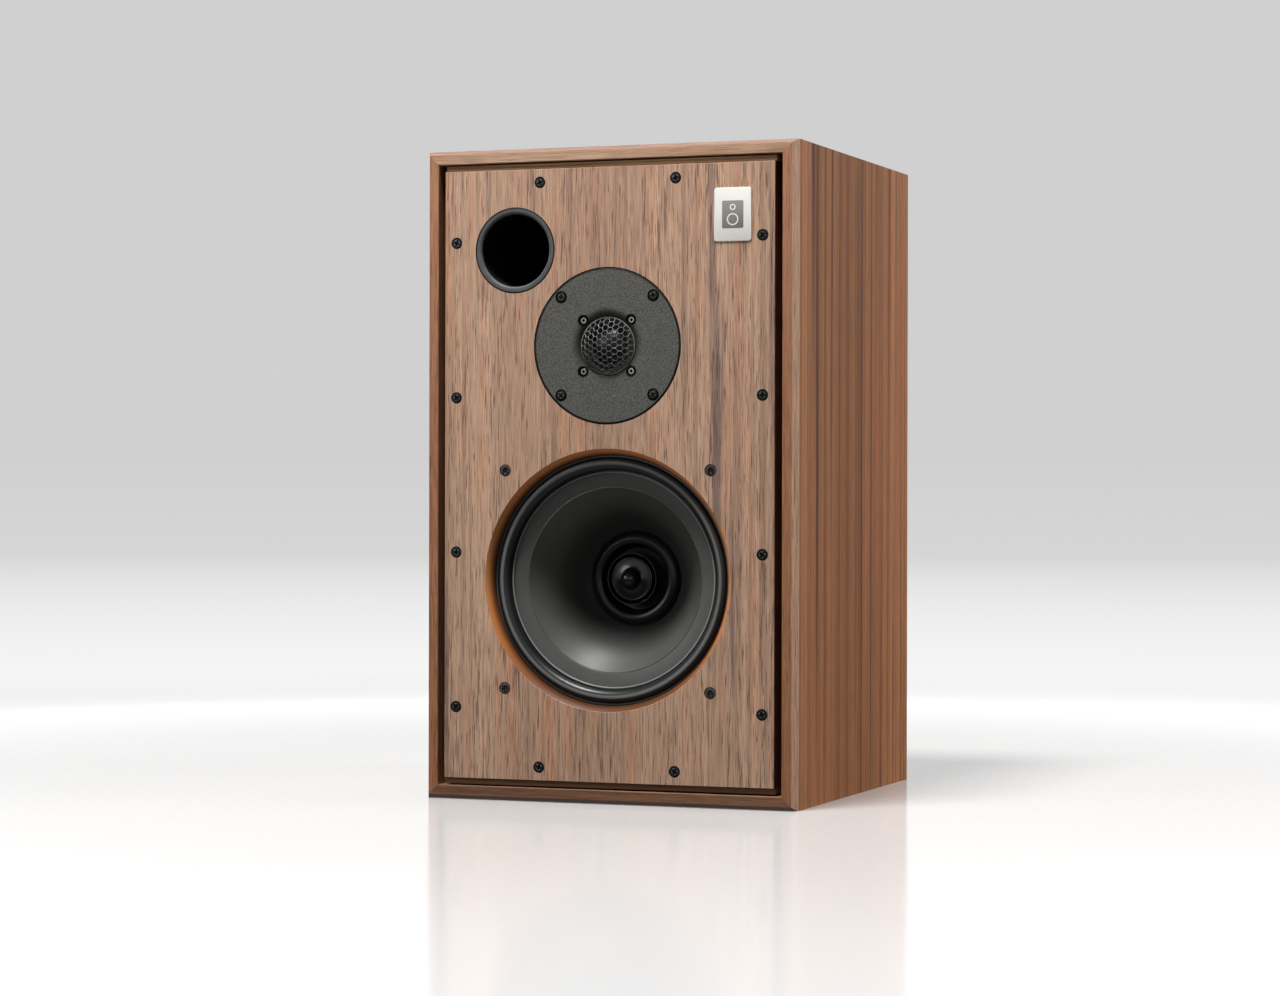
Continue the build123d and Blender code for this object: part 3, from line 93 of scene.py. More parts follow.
# Head radii of the tweeter's two kinds of screw
MOUNT_HEAD = 3.4
INNER_HEAD = 2.75

# Radii just outside the woofer's rounded mouth and the tweeter's recess in the baffle
MOUTH_EDGE = 93
RECESS_EDGE = 57


# ---------------------------------------------------------------- materials
def srgb(red, green, blue):
    """Linear colour of a 0 to 255 sRGB one."""
    return tuple(((c / 255 + 0.055) / 1.055) ** 2.4 for c in (red, green, blue)) + (1,)


def set_range(node, low, high, start, end):
    """Sets both ends of a Map Range node's input and output."""
    for socket, number in (("From Min", low), ("From Max", high), ("To Min", start), ("To Max", end)):
        node.inputs[socket].default_value = number


class Finish:
    """Principled material built a node at a time. Its constants go straight on the shader."""

    def __init__(self, name, **constants):
        self.material = bpy.data.materials.new(name)
        self.material.use_nodes = True
        self.tree = self.material.node_tree
        self.shader = self.tree.nodes["Principled BSDF"]
        self.place = self.tree.nodes.new("ShaderNodeTexCoord").outputs["Object"]
        for socket, value in constants.items():
            self.shader.inputs[socket.replace("_", " ")].default_value = value

    def feed(self, socket, value):
        """Sets an input, or links it if the value comes from another node."""
        if isinstance(value, bpy.types.NodeSocket):
            self.tree.links.new(value, socket)
        else:
            socket.default_value = value

    def shade(self, socket, value):
        """Sets or links an input of the shader."""
        self.feed(self.shader.inputs[socket], value)

    def noise(self, scale, detail=2.0, roughness=0.55, seed=0.0):
        """Noise of 0 to 1, with so many features to the metre along X, Y and Z."""
        mapping = self.tree.nodes.new("ShaderNodeMapping")
        mapping.inputs["Scale"].default_value = scale if isinstance(scale, tuple) else (scale,) * 3
        self.feed(mapping.inputs["Vector"], self.place)
        node = self.tree.nodes.new("ShaderNodeTexNoise")
        node.noise_dimensions = "4D"
        self.feed(node.inputs["Vector"], mapping.outputs["Vector"])
        settings = {"W": seed, "Scale": 1.0, "Detail": detail, "Roughness": roughness}
        for socket, value in settings.items():
            node.inputs[socket].default_value = value
        return node.outputs["Fac"]

    def calc(self, operation, first, second=0.0):
        """Result of a Math node."""
        node = self.tree.nodes.new("ShaderNodeMath")
        node.operation = operation
        self.feed(node.inputs[0], first)
        self.feed(node.inputs[1], second)
        return node.outputs["Value"]

    def step(self, value, low, high, start=0.0, end=1.0):
        """Smooth change from start to end as a value goes from low to high."""
        node = self.tree.nodes.new("ShaderNodeMapRange")
        node.interpolation_type = "SMOOTHSTEP"
        self.feed(node.inputs["Value"], value)
        set_range(node, low, high, start, end)
        return node.outputs["Result"]

    def mix(self, share, first, second, mode="MIX"):
        """Colour between two others."""
        node = self.tree.nodes.new("ShaderNodeMix")
        node.data_type = "RGBA"
        node.blend_type = mode
        self.feed(node.inputs[0], share)
        self.feed(node.inputs[6], first)
        self.feed(node.inputs[7], second)
        return node.outputs[2]

    def axis(self, name):
        """One object coordinate, in metres."""
        node = self.tree.nodes.new("ShaderNodeSeparateXYZ")
        self.feed(node.inputs[0], self.place)
        return node.outputs[name]

    def behind(self):
        """Depth behind the front of the baffle, in metres."""
        return self.calc("SUBTRACT", self.axis("Y"), FRONT)

    def gap(self, first, second):
        """Size of the difference of two values."""
        return self.calc("ABSOLUTE", self.calc("SUBTRACT", first, second))

    def away(self, name, place):
        """Distance from a place along one axis, in metres."""
        return self.gap(self.axis(name), place)

    def length(self, first, second):
        """Length of the hypotenuse over two sides."""
        first_square = self.calc("MULTIPLY", first, first)
        second_square = self.calc("MULTIPLY", second, second)
        return self.calc("SQRT", self.calc("ADD", first_square, second_square))

    def radius(self, centre):
        """Distance from a front-to-back axis, in metres."""
        return self.length(self.away("X", centre.x), self.away("Z", centre.z))

    def bump(self, height, relief_mm, strength=1.0, below=None):
        """Normal of a height of 0 to 1 that stands for a relief in millimetres."""
        node = self.tree.nodes.new("ShaderNodeBump")
        node.inputs["Strength"].default_value = strength
        node.inputs["Distance"].default_value = relief_mm * MM
        self.feed(node.inputs["Height"], height)
        if below is not None:
            self.feed(node.inputs["Normal"], below)
        return node.outputs["Normal"]

    def done(self, colour, roughness, normal=None):
        """Feeds the shader and gives the finished material."""
        self.shade("Base Color", colour)
        self.shade("Roughness", roughness)
        if normal is not None:
            self.shade("Normal", normal)
        return self.material


def along(axis, across, lengthways):
    """Noise scale of a grain along one axis: features to the metre across it and lengthways."""
    return tuple(lengthways if name == axis else across for name in "XYZ")


def wood(
    name, grain, tones, seed, lines=260, streaks=1.0, pores=1.0, straight=1.0, gloss=0.25,
    bevel=None, edges=None
):
    """Satin open-grain wood: zones, warm patches, lines, long grey streaks, fibre, short dark pores."""
    finish = Finish(name, Specular_IOR_Level=gloss)
    drift = finish.noise(along(grain, 18, 1.2 / straight), 3, seed=seed)
    zones = finish.noise(along(grain, 44, 2.2 / straight), 2, seed=seed + 1)
    patches = finish.noise(along(grain, 110, 9.0 / straight), 2, seed=seed + 2)
    fine_lines = finish.noise(along(grain, lines, 4.0 / straight), 3, 0.6, seed=seed + 3)
    streak_run = finish.noise(along(grain, 95, 4.5 / straight), 3, 0.5, seed=seed + 4)
    fibre = finish.noise(along(grain, 1200, 34), 3, 0.6, seed=seed + 5)
    vessels = finish.noise(along(grain, 1350, 52), 2, 0.5, seed=seed + 6)
    crowding = finish.noise(along(grain, 120, 8.0), 2, seed=seed + 7)
    colour = finish.mix(finish.step(drift, 0.36, 0.64), tones["light"], tones["middle"])
    colour = finish.mix(finish.step(zones, 0.5, 0.68, 0.0, 0.7), colour, tones["dull"])
    colour = finish.mix(finish.step(patches, 0.5, 0.72, 0.0, 0.75), colour, tones["warm"])
    colour = finish.mix(finish.step(fine_lines, 0.46, 0.7, 0.0, 0.55 * streaks), colour, tones["streak"])
    grey_streak = finish.step(streak_run, 0.54, 0.68, 0.0, 0.8)
    colour = finish.mix(finish.calc("MULTIPLY", grey_streak, streaks), colour, tones["vein"])
    # An edging's bevel gets its painted tone of light and shade here.
    if bevel:
        colour = bevel(finish, colour, tones["bevel"])
    colour = finish.mix(1.0, colour, finish.step(fibre, 0.32, 0.68, 0.74, 1.16), "MULTIPLY")
    limit = finish.step(crowding, 0.3, 0.72, 0.6, 0.52)
    open_pore = finish.step(finish.calc("SUBTRACT", vessels, limit), 0.0, 0.07, 0.0, 0.68 * pores)
    colour = finish.mix(open_pore, colour, tones["pore"])
    if edges:
        colour = edges(finish, colour)
    relief = finish.bump(finish.calc("SUBTRACT", 1.0, open_pore), 0.05, 0.6)
    relief = finish.bump(fibre, 0.012, 0.5, relief)
    return finish.done(colour, finish.step(fibre, 0.2, 0.8, 0.42, 0.58), relief)


def baffle_edges(finish, colour):
    """Stained curve of the woofer's mouth with painted shade, darker deeper in and at its lowest part, and
    dark cut edges elsewhere.

    Painted shade, near black, at the tweeter's recess. The tongue above and below is tan plywood, with
    painted shade making it darker at the bottom of the cabinet.
    """
    behind = finish.behind()
    up = finish.axis("Z")
    # Painted light and shade: the mouth's staining is lighter at its front edge and darker deeper in.
    stain_and_shade = finish.mix(finish.step(behind, 0.6 * MM, 6.5 * MM), srgb(226, 144, 82), srgb(136, 78, 40))
    over_middle = finish.calc("SUBTRACT", up, WOOFER.z)
    # Painted shade: the mouth gets darker towards its lowest part.
    shade_low_side = finish.step(over_middle, -92 * MM, 0.0, 0.92, 0.0)
    stain_and_shade = finish.mix(shade_low_side, stain_and_shade, srgb(68, 37, 12))
    at_mouth = finish.step(finish.radius(WOOFER), MOUTH_EDGE * MM, (MOUTH_EDGE + 1) * MM, 1.0, 0.0)
    at_tweeter = finish.step(finish.radius(TWEETER), RECESS_EDGE * MM, (RECESS_EDGE + 1) * MM, 1.0, 0.0)
    cut = finish.mix(at_mouth, srgb(84, 50, 34), stain_and_shade)
    # Painted shade: near black on the edges of the tweeter's recess.
    cut = finish.mix(at_tweeter, cut, srgb(10, 8, 7))
    colour = finish.mix(finish.step(behind, 0.05 * MM, 0.3 * MM), colour, cut)
    low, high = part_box("baffle_gasket")
    centre, half = (low.z + high.z) / 2, (high.z - low.z) / 2
    layers = finish.noise(along("X", 700, 6), 3, 0.6, seed=13)
    tongue_with_shade = finish.mix(finish.step(layers, 0.4, 0.62), srgb(206, 168, 122), srgb(138, 100, 62))
    # Painted shade: the tongue gets darker towards the bottom of the cabinet.
    tongue_with_shade = finish.mix(finish.step(up, 0.0, 2 * centre, 0.75, 0.0), tongue_with_shade, srgb(104, 64, 36))
    on_tongue = finish.step(finish.away("Z", centre), half - 0.1 * MM, half + 0.1 * MM)
    return finish.mix(on_tongue, colour, tongue_with_shade)


def bevelled(axis):
    """Painter for the edging along one side: its outer bevel gets a tone of its own, painted light and
    shade for how light falls on the bevel.
    """

    def bevel(finish, colour, tone):
        low, high = (corner["XYZ".index(axis)] for corner in cad_box)
        outwards = finish.away(axis, (low + high) / 2)
        bevel_width, blur = 3.0 * MM, 0.8 * MM
        start = (high - low) / 2 - bevel_width
        ragged = finish.calc("MULTIPLY", finish.noise(60, 2, seed=3), blur)
        share = finish.step(finish.calc("ADD", outwards, ragged), start, start + blur, 0.0, 0.8)
        return finish.mix(share, colour, tone)

    return bevel


def moulded(
    name, light, dark, rough=(0.35, 0.5), grain_mm=0.25, relief_mm=0.01, clouds=0.6, speckle=0.45,
    extra=None, **constants
):
    """Moulded or painted surface: slight blotches, fine grain in colour, roughness and relief.

    The light and dark tones of this finish and the two below are sRGB.
    """
    finish = Finish(name, **constants)
    light, dark = srgb(*light), srgb(*dark)
    cloud = finish.noise(45, 3)
    grain = finish.noise(1 / (grain_mm * MM), 2, seed=3)
    colour = finish.mix(finish.step(cloud, 0.3, 0.7, 0.0, clouds), light, dark)
    colour = finish.mix(finish.step(grain, 0.3, 0.7, 0.0, speckle), colour, dark)
    if extra:
        colour = extra(finish, colour)
    return finish.done(colour, finish.step(grain, 0.25, 0.75, *rough), finish.bump(grain, relief_mm, 0.6))


def turned(
    name, light, dark, centre, rough=(0.3, 0.45), ring_mm=0.6, relief_mm=0.002,
    extra=None, **constants
):
    """Surface with faint rings about an axis, as a turned, pressed or moulded round part has."""
    finish = Finish(name, **constants)
    light, dark = srgb(*light), srgb(*dark)
    wave = finish.calc("SINE", finish.calc("MULTIPLY", finish.radius(centre), 2 * math.pi / (ring_mm * MM)))
    cloud = finish.noise(70, 3)
    share = finish.calc("ADD", finish.step(wave, -1, 1, 0.0, 0.3), finish.step(cloud, 0.3, 0.7, 0.0, 0.6))
    colour = finish.mix(share, light, dark)
    if extra:
        colour = extra(finish, colour)
    return finish.done(colour, finish.step(cloud, 0.3, 0.7, *rough), finish.bump(wave, relief_mm, 0.4))


def cloth(name, light, dark, thread_mm=0.5, **constants):
    """Woven cloth: crossed threads with fluff over them."""
    finish = Finish(name, **constants)
    light, dark = srgb(*light), srgb(*dark)
    pitch = 2 * math.pi / (thread_mm * MM)
    warp = finish.calc("SINE", finish.calc("MULTIPLY", finish.axis("X"), pitch))
    weft = finish.calc("SINE", finish.calc("MULTIPLY", finish.axis("Z"), pitch))
    weave = finish.step(finish.calc("MULTIPLY", warp, weft), -1, 1)
    fluff = finish.noise(900, 3)
    colour = finish.mix(weave, dark, light)
    colour = finish.mix(finish.step(fluff, 0.4, 0.7, 0.0, 0.5), colour, dark)
    roughness = finish.step(fluff, 0.2, 0.8, 0.75, 0.95)
    return finish.done(colour, roughness, finish.bump(weave, 0.1, 0.7))


def painted_highlight_lines(finish, colour):
    """Painted highlight lines on the rubber: at the bead by the cone, which is also a paler glue line, on
    the crest of the roll and at its outer foot.
    """
    radius = finish.radius(WOOFER)
    highlight_tone = srgb(160, 162, 158)
    bead, crest, foot = (75.8, 1.1, 0.75), (81.8, 1.6, 0.4), (86.7, 0.5, 0.3)
    for middle_mm, half_mm, share in (bead, crest, foot):
        off = finish.gap(radius, middle_mm * MM)
        line = finish.step(off, 0.3 * half_mm * MM, half_mm * MM, share, 0.0)
        colour = finish.mix(line, colour, highlight_tone)
    return colour


def painted_shade_bore(finish, colour):
    """Painted shade: the port is black inside, behind its grey mouth, and at the edge of its flange."""
    edge = finish.step(finish.radius(PORT), 29.0 * MM, 29.5 * MM)
    inside = finish.step(finish.behind(), 1.2 * MM, 2.4 * MM)
    colour = finish.mix(edge, colour, srgb(12, 12, 12))
    return finish.mix(inside, colour, srgb(9, 9, 9))


def painted_shade_foot(finish, colour):
    """Painted shade: the cone gets darker down its flare, towards the neck."""
    foot = finish.step(finish.radius(WOOFER), 38 * MM, 60 * MM, 0.6, 0.0)
    return finish.mix(foot, colour, srgb(24, 24, 24))


def wound_part(finish, colour):
    """The coil's front end is bare black former, and copper wire only behind it."""
    return finish.mix(finish.step(finish.behind(), 81 * MM, 82 * MM), srgb(14, 14, 14), colour)


def painted_shade_wells(finish, colour):
    """Painted shade: black wells round the screws, a black outer edge, and a dark flare round the dome's
    guard.
    """
    across, up = finish.away("X", TWEETER.x), finish.away("Z", TWEETER.z)
    wells = (("tweeter_mount_screws", MOUNT_HEAD, 4.6), ("tweeter_inner_screws", INNER_HEAD, 4.4))
    for node, head, well in wells:
        low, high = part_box(node)
        offset = (high.x - low.x) / 2 - head * MM
        to_screw = finish.length(
            finish.calc("SUBTRACT", across, offset),
            finish.calc("SUBTRACT", up, offset),
        )
        in_well = finish.step(to_screw, (well - 0.3) * MM, well * MM, 0.9, 0.0)
        colour = finish.mix(in_well, colour, srgb(14, 14, 14))
    out = finish.length(across, up)
    rim = finish.step(out, 53.0 * MM, 53.4 * MM, 0.0, 0.95)
    flare = finish.step(out, 20.5 * MM, 28 * MM, 0.85, 0.0)
    return finish.mix(finish.calc("ADD", rim, flare), colour, srgb(16, 16, 16))


def palette(**shades):
    """Tones of a wood, from sRGB shades."""
    return {name: srgb(*shade) for name, shade in shades.items()}


BAFFLE_TONES = palette(
    light=(218, 178, 150), middle=(194, 156, 130), dull=(190, 156, 128), warm=(212, 152, 118),
    streak=(154, 120, 100), vein=(124, 102, 96), pore=(92, 64, 50),
)
SIDE_TONES = palette(
    light=(182, 126, 88), middle=(152, 102, 70), dull=(134, 96, 60), warm=(184, 112, 70),
    streak=(98, 60, 42), vein=(98, 62, 52), pore=(84, 52, 38),
)
TOP_TONES = SIDE_TONES | palette(
    light=(156, 112, 84), middle=(132, 92, 66), dull=(120, 88, 60), warm=(154, 100, 70),
    streak=(88, 56, 42),
)
# An edging's bevel tone is painted light and shade for how light falls on the bevel.
EDGING_TONES = palette(
    light=(182, 130, 98), middle=(158, 104, 70), dull=(150, 110, 78), warm=(174, 104, 58),
    streak=(118, 78, 56), vein=(108, 72, 56), pore=(84, 52, 38), bevel=(198, 158, 128),
)
# The top edging's tones are a lighter copy and the bottom's a darker copy of the sides': painted light and
# shade.
LIT_TOP_EDGING_TONES = EDGING_TONES | palette(
    light=(208, 174, 150), middle=(190, 150, 120), warm=(192, 138, 104), streak=(156, 116, 92),
    bevel=(140, 114, 102),
)
SHADED_BOTTOM_EDGING_TONES = EDGING_TONES | palette(
    light=(160, 118, 90), middle=(130, 92, 66), dull=(126, 92, 68), warm=(142, 88, 60),
    streak=(94, 62, 44), bevel=(112, 84, 72),
)
BEECH_TONES = palette(
    light=(214, 180, 140), middle=(200, 162, 120), dull=(196, 162, 116), warm=(208, 158, 112),
    streak=(176, 136, 98), vein=(170, 130, 96), pore=(140, 100, 70),
)

METAL = {"Metallic": 1.0}
looks = {
    "side": wood("side_veneer", "Z", SIDE_TONES, 11, 230, 1.5, 0.3, 6.0, 0.06),
    "top": wood("top_veneer", "X", TOP_TONES, 17, 230, 1.2, 0.3, 6.0, 0.1),
    # The baffle's edges carry painted light and shade.
    "baffle": wood("baffle_veneer", "Z", BAFFLE_TONES, 2, straight=1.8, edges=baffle_edges),
    # The top and bottom edgings use lighter and darker copies of the edging tones: painted light and shade.
    "edging_side": wood("edging_side", "Z", EDGING_TONES, 23, 200, 0.8, 0.7, 2.0, 0.2, bevelled("X")),
    "edging_top": wood("edging_top", "X", LIT_TOP_EDGING_TONES, 29, 200, 0.7, 0.5, 2.0, 0.2, bevelled("Z")),
    "edging_low": wood("edging_low", "X", SHADED_BOTTOM_EDGING_TONES, 31, 200, 0.8, 0.6, 2.0, 0.2, bevelled("Z")),
    "rear": wood("rear_veneer", "Z", SIDE_TONES, 31, 180, 1.0, 0.8, 1.5, 0.15),
    "beech": wood("beech", "Z", BEECH_TONES, 37, streaks=0.5, pores=0.4),
    "gasket": moulded("gasket_foam", (38, 38, 38), (12, 12, 12), (0.8, 0.95), 0.5, 0.08),
    "black_screw": moulded(
        "black_screw", (16, 16, 16), (7, 7, 7), (0.3, 0.5), 0.3, 0.006, Specular_IOR_Level=0.25
    ),
    # The grey face of the black screws is a painted sheen where the flat top catches the light.
    "screw_face_sheen": moulded("screw_face_sheen", (92, 98, 98), (34, 36, 36), (0.25, 0.5), 0.9, 0.04, 0.9, 0.8),
    "grey_screw": moulded("grey_screw", (92, 88, 84), (48, 46, 44), (0.35, 0.5), 0.3, 0.008),
    "bright_screw": moulded(
        "bright_screw", (206, 204, 198), (120, 118, 112), (0.2, 0.4), 0.3, 0.006, **METAL
    ),
    # The port's black bore and flange edge are painted shade.
    "port": turned(
        "port_plastic", (94, 95, 96), (72, 73, 74), PORT, (0.5, 0.6), 0.9,
        extra=painted_shade_bore, Specular_IOR_Level=0.25,
    ),
    "basket": moulded("basket_metal", (48, 48, 48), (22, 22, 22), (0.4, 0.55), 0.4, 0.02),
    # The rubber's paler lines are painted highlights, at the bead also a glue line.
    "rubber": moulded(
        "surround_rubber", (28, 29, 29), (18, 18, 18), (0.36, 0.42), 0.4, 0.0004,
        extra=painted_highlight_lines, Specular_IOR_Level=0.5,
    ),
    # The cone's darker foot is painted shade.
    "cone": turned(
        "cone_plastic", (82, 83, 80), (74, 75, 72), WOOFER, (0.38, 0.4), 0.8,
        extra=painted_shade_foot, Specular_IOR_Level=0.6,
    ),
    "gloss": turned("plug_gloss", (20, 20, 20), (12, 12, 12), WOOFER, (0.18, 0.24), 0.7, 0.0005),
    "neck": turned(
        "neck_gloss", (22, 22, 22), (13, 13, 13), WOOFER, (0.3, 0.38), 0.7, 0.0005, Specular_IOR_Level=0.35
    ),
    "coil": turned(
        "woofer_coil", (190, 112, 70), (140, 76, 44), WOOFER, (0.35, 0.5), 0.3, extra=wound_part
    ),
    "copper": turned("coil_copper", (200, 120, 76), (140, 76, 44), WOOFER, (0.3, 0.45), 0.3, **METAL),
    "spider": cloth("spider_cloth", (196, 158, 92), (142, 104, 50)),
    "steel": moulded("motor_steel", (168, 168, 170), (122, 122, 126), (0.3, 0.5), 0.5, 0.01, **METAL),
    "ferrite": moulded("magnet_ferrite", (74, 74, 76), (48, 48, 50), (0.55, 0.75), 0.6, 0.03),
    "black_plastic": moulded("terminal_plastic", (36, 36, 37), (20, 20, 21), (0.4, 0.6), 0.35, 0.02),
    # The faceplate's black wells, outer edge and flare are painted shade.
    "faceplate": moulded(
        "faceplate_paint", (110, 109, 103), (48, 47, 44), (0.5, 0.65), 0.9, 0.12, 0.1, 0.85,
        painted_shade_wells, Specular_IOR_Level=0.3,
    ),
    "mesh": moulded("guard_mesh", (134, 133, 130), (70, 69, 68), (0.3, 0.5), 0.6, 0.006, Metallic=0.4),
    "dome": turned("dome_metal", (26, 26, 28), (15, 15, 17), TWEETER, (0.3, 0.42), 0.4, Metallic=0.4),
    "coated_cloth": cloth("tweeter_edge", (36, 36, 36), (18, 18, 18), 0.35),
    "board": moulded("board_laminate", (52, 104, 66), (34, 76, 48), (0.35, 0.5), 0.6, 0.02),
    "film": moulded("capacitor_case", (206, 176, 80), (176, 142, 52), (0.2, 0.35), 0.8, 0.01),
    "cement": moulded("resistor_body", (226, 222, 212), (196, 190, 178), (0.7, 0.9), 0.4, 0.04),
    "plating": moulded("plated_brass", (226, 190, 108), (186, 142, 66), (0.15, 0.3), 0.4, 0.006, **METAL),
    "red": moulded("knob_red", (168, 22, 20), (122, 12, 12), (0.2, 0.35), 0.5, 0.01, Coat_Weight=0.3),
    "black_knob": moulded(
        "knob_black", (36, 36, 36), (18, 18, 18), (0.2, 0.35), 0.5, 0.01, Coat_Weight=0.3
    ),
    "jacket": moulded("wire_jacket", (52, 50, 50), (30, 29, 29), (0.45, 0.6), 0.6, 0.02),
    "bitumen": moulded("damping_sheet", (48, 46, 44), (26, 25, 24), (0.7, 0.9), 0.9, 0.08),
    "foam": moulded("lining_foam", (74, 74, 76), (36, 36, 38), (0.85, 1.0), 0.9, 0.4),
    "badge": moulded("badge_face", (250, 248, 242), (238, 235, 227), (0.3, 0.4), 0.5, 0.004),
    "badge_grey": moulded("badge_grey", (146, 142, 138), (126, 122, 117), (0.35, 0.5), 0.4, 0.006),
}

NODE_LOOKS = {
    "side": ["left_panel", "right_panel"],
    "top": ["top_panel", "bottom_panel"],
    "baffle": ["front_baffle"],
    "edging_side": ["front_edging_left", "front_edging_right"],
    "edging_top": ["front_edging_top"],
    "edging_low": ["front_edging_bottom"],
    "rear": ["rear_panel"],
    "beech": ["front_battens", "rear_battens"],
    "gasket": ["baffle_gasket", "rear_gasket", "woofer_gasket"],
    "basket": ["woofer_basket"],
    "coil": ["woofer_voice_coil"],
    "copper": ["tweeter_voice_coil", "crossover_inductors"],
    "steel": [
        "woofer_top_plate", "woofer_back_plate", "tweeter_top_plate", "tweeter_back_plate", "woofer_nuts"
    ],
    "ferrite": ["woofer_magnet", "tweeter_magnet"],
    "black_plastic": ["woofer_terminals", "terminal_plate", "tweeter_rear_chamber"],
    "faceplate": ["tweeter_faceplate"],
    "board": ["crossover_board"],
    "film": ["crossover_capacitors"],
    "cement": ["crossover_resistors"],
    "plating": [
        "crossover_standoffs", "binding_posts", "post_nuts",
        "positive_clamp_washer", "negative_clamp_washer",
    ],
    "red": ["positive_knob"],
    "black_knob": ["negative_knob"],
    "jacket": ["internal_wires"],
    "bitumen": ["damping_pads"],
}

for look, members in NODE_LOOKS.items():
    for member in members:
        nodes[member].data.materials.clear()
        nodes[member].data.materials.append(looks[look])


# ---------------------------------------------------------------- shapes
def arc(centre, radius, start, end, steps=16):
    """Points of an arc in (radius, depth); degrees run from outwards towards the back."""
    turns = [math.radians(start + (end - start) * i / steps) for i in range(steps + 1)]
    return [(centre[0] + radius * math.cos(t), centre[1] + radius * math.sin(t)) for t in turns]


def flowing(points, steps=10):
    """Points of a smooth curve through a few others."""
    padded = [points[0]] + points + [points[-1]]
    line = []
    for before, start, end, after in zip(padded, padded[1:], padded[2:], padded[3:]):
        for i in range(steps):
            t = i / steps
            line.append(tuple(
                0.5 * (
                    2 * b + (c - a) * t + (2 * a - 5 * b + 4 * c - d) * t**2
                    + (3 * b - a - 3 * c + d) * t**3
                )
                for a, b, c, d in zip(before, start, end, after)
            ))
    return line + [points[-1]]


def eased(points, radius, steps=4):
    """A closed outline with its corners rounded off."""
    soft = []
    for i, corner in enumerate(points):
        here = Vector(corner)
        sides = [Vector(points[i - 1]) - here, Vector(points[(i + 1) % len(points)]) - here]
        start, end = [here + side.normalized() * min(radius, side.length * 0.45) for side in sides]
        for k in range(steps + 1):
            t = k / steps
            soft.append(tuple(start * (1 - t) ** 2 + here * 2 * t * (1 - t) + end * t**2))
    return soft


def hexagon(radius):
    """Corners of a regular hexagon round (0, 0)."""
    return [(radius * math.cos(k * math.pi / 3), radius * math.sin(k * math.pi / 3)) for k in range(6)]


def add_object(name, data):
    """New object in the scene for a mesh, curve, light or camera."""
    thing = bpy.data.objects.new(name, data)
    bpy.context.scene.collection.objects.link(thing)
    return thing


def mesh_of(name, points, faces):
    """New mesh from points in metres and faces of their numbers."""
    mesh = bpy.data.meshes.new(name)
    mesh.from_pydata(points, [], faces)
    return mesh


def piece_of(name, mesh, *finishes, crease=32):
    """Object for a mesh, smooth but for edges sharper than crease degrees, with a look for each slot."""
    shape = bmesh.new()
    shape.from_mesh(mesh)
    bmesh.ops.remove_doubles(shape, verts=shape.verts, dist=1e-6)
    bmesh.ops.dissolve_degenerate(shape, edges=shape.edges, dist=1e-7)
    bmesh.ops.recalc_face_normals(shape, faces=shape.faces)
    shape.to_mesh(mesh)
    shape.free()
    mesh.shade_smooth()
    mesh.set_sharp_from_angle(angle=math.radians(crease))
    piece = add_object(name, mesh)
    for finish in finishes:
        mesh.materials.append(looks[finish])
    return piece


def lathe(name, centre, outline, look, steps=224, crease=32):
    """Solid turned about a front-to-back axis from a closed outline of (radius, depth)."""
    turns = np.linspace(0, 2 * math.pi, steps, endpoint=False)
    count = len(outline)
    points = [
        (centre.x + r * MM * math.cos(t), FRONT + d * MM, centre.z + r * MM * math.sin(t))
        for t in turns
        for r, d in outline
    ]
    faces = []
    for i in range(steps):
        here, there = i * count, (i + 1) % steps * count
        for k in range(count):
            after = (k + 1) % count
            faces.append((here + k, here + after, there + after, there + k))
    return piece_of(name, mesh_of(name, points, faces), look, crease=crease)


def stand_for(piece, body, node):
    """Puts a piece in place of a CAD node, which it hides. A rigid one rides on a body."""
    if body:
        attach(piece, body)
    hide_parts(node)
    return piece


def bend_with(piece):
    """Bakes a round soft piece's placement into its mesh and reads out its points, which nothing then uses;
    it sets up no bending.
    """
    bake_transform(piece)
    count = len(piece.data.vertices)
    places = np.empty(count * 3, np.float32)
    piece.data.vertices.foreach_get("co", places)
    places = places.reshape(-1, 3)


def groups(node, spacing):
    """Boxes of a CAD node's repeated solids, told apart by their spacing in millimetres."""
    found = []
    for vertex in nodes[node].data.vertices:
        place = vertex.co
        for box in found:
            if math.hypot(place.x - box[2].x, place.z - box[2].z) < spacing * MM:
                box[0] = Vector(map(min, box[0], place))
                box[1] = Vector(map(max, box[1], place))
                break
        else:
            found.append([place.copy(), place.copy(), place.copy()])
    return [(low, high) for low, high, _ in found]


# ---------------------------------------------------------------- woofer
CONE_BODY = "woofer_cone_assembly"
SURROUND_RIM = reach("woofer_surround")
CONE_RIM = reach("woofer_cone")
NECK_RADIUS = reach("woofer_voice_coil") - 0.8
CONE_LIP_DEPTH = depth_of(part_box("woofer_cone")[0].y)
CONE_BACK_DEPTH = depth_of(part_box("woofer_cone")[1].y)
LIP_RADIUS = CONE_RIM - 2.3
# Places in the woofer's section as (radius, depth)
SHOULDER = (CONE_RIM - 12.3, CONE_LIP_DEPTH + 1.95)
FLARE_MIDDLE = (50.0, 34.5)
THROAT = (34.0, 59.0)
ROLL_CENTRE = (81.95, 11.0)
PAPER = 1.3
ROLL_RADIUS = 4.75
RUBBER = 0.9
SPIDER_SEAT = 50.0


def make_cone():
    """Cone: lip under the rubber, shallow band with a fine step at its foot, deep flare to the coil."""
    neck = (NECK_RADIUS, CONE_BACK_DEPTH - PAPER)
    flare = flowing([SHOULDER, FLARE_MIDDLE, THROAT, neck], 14)
    step = [(SHOULDER[0] + 0.7, SHOULDER[1] - 0.14), (SHOULDER[0] + 0.5, SHOULDER[1] + 0.1)]
    front = [(CONE_RIM, CONE_LIP_DEPTH), (LIP_RADIUS, CONE_LIP_DEPTH)] + step + flare
    back = [(r, d + PAPER) for r, d in reversed(front)]
    return lathe("woofer_cone_piece", WOOFER, front + back, "cone", crease=25)


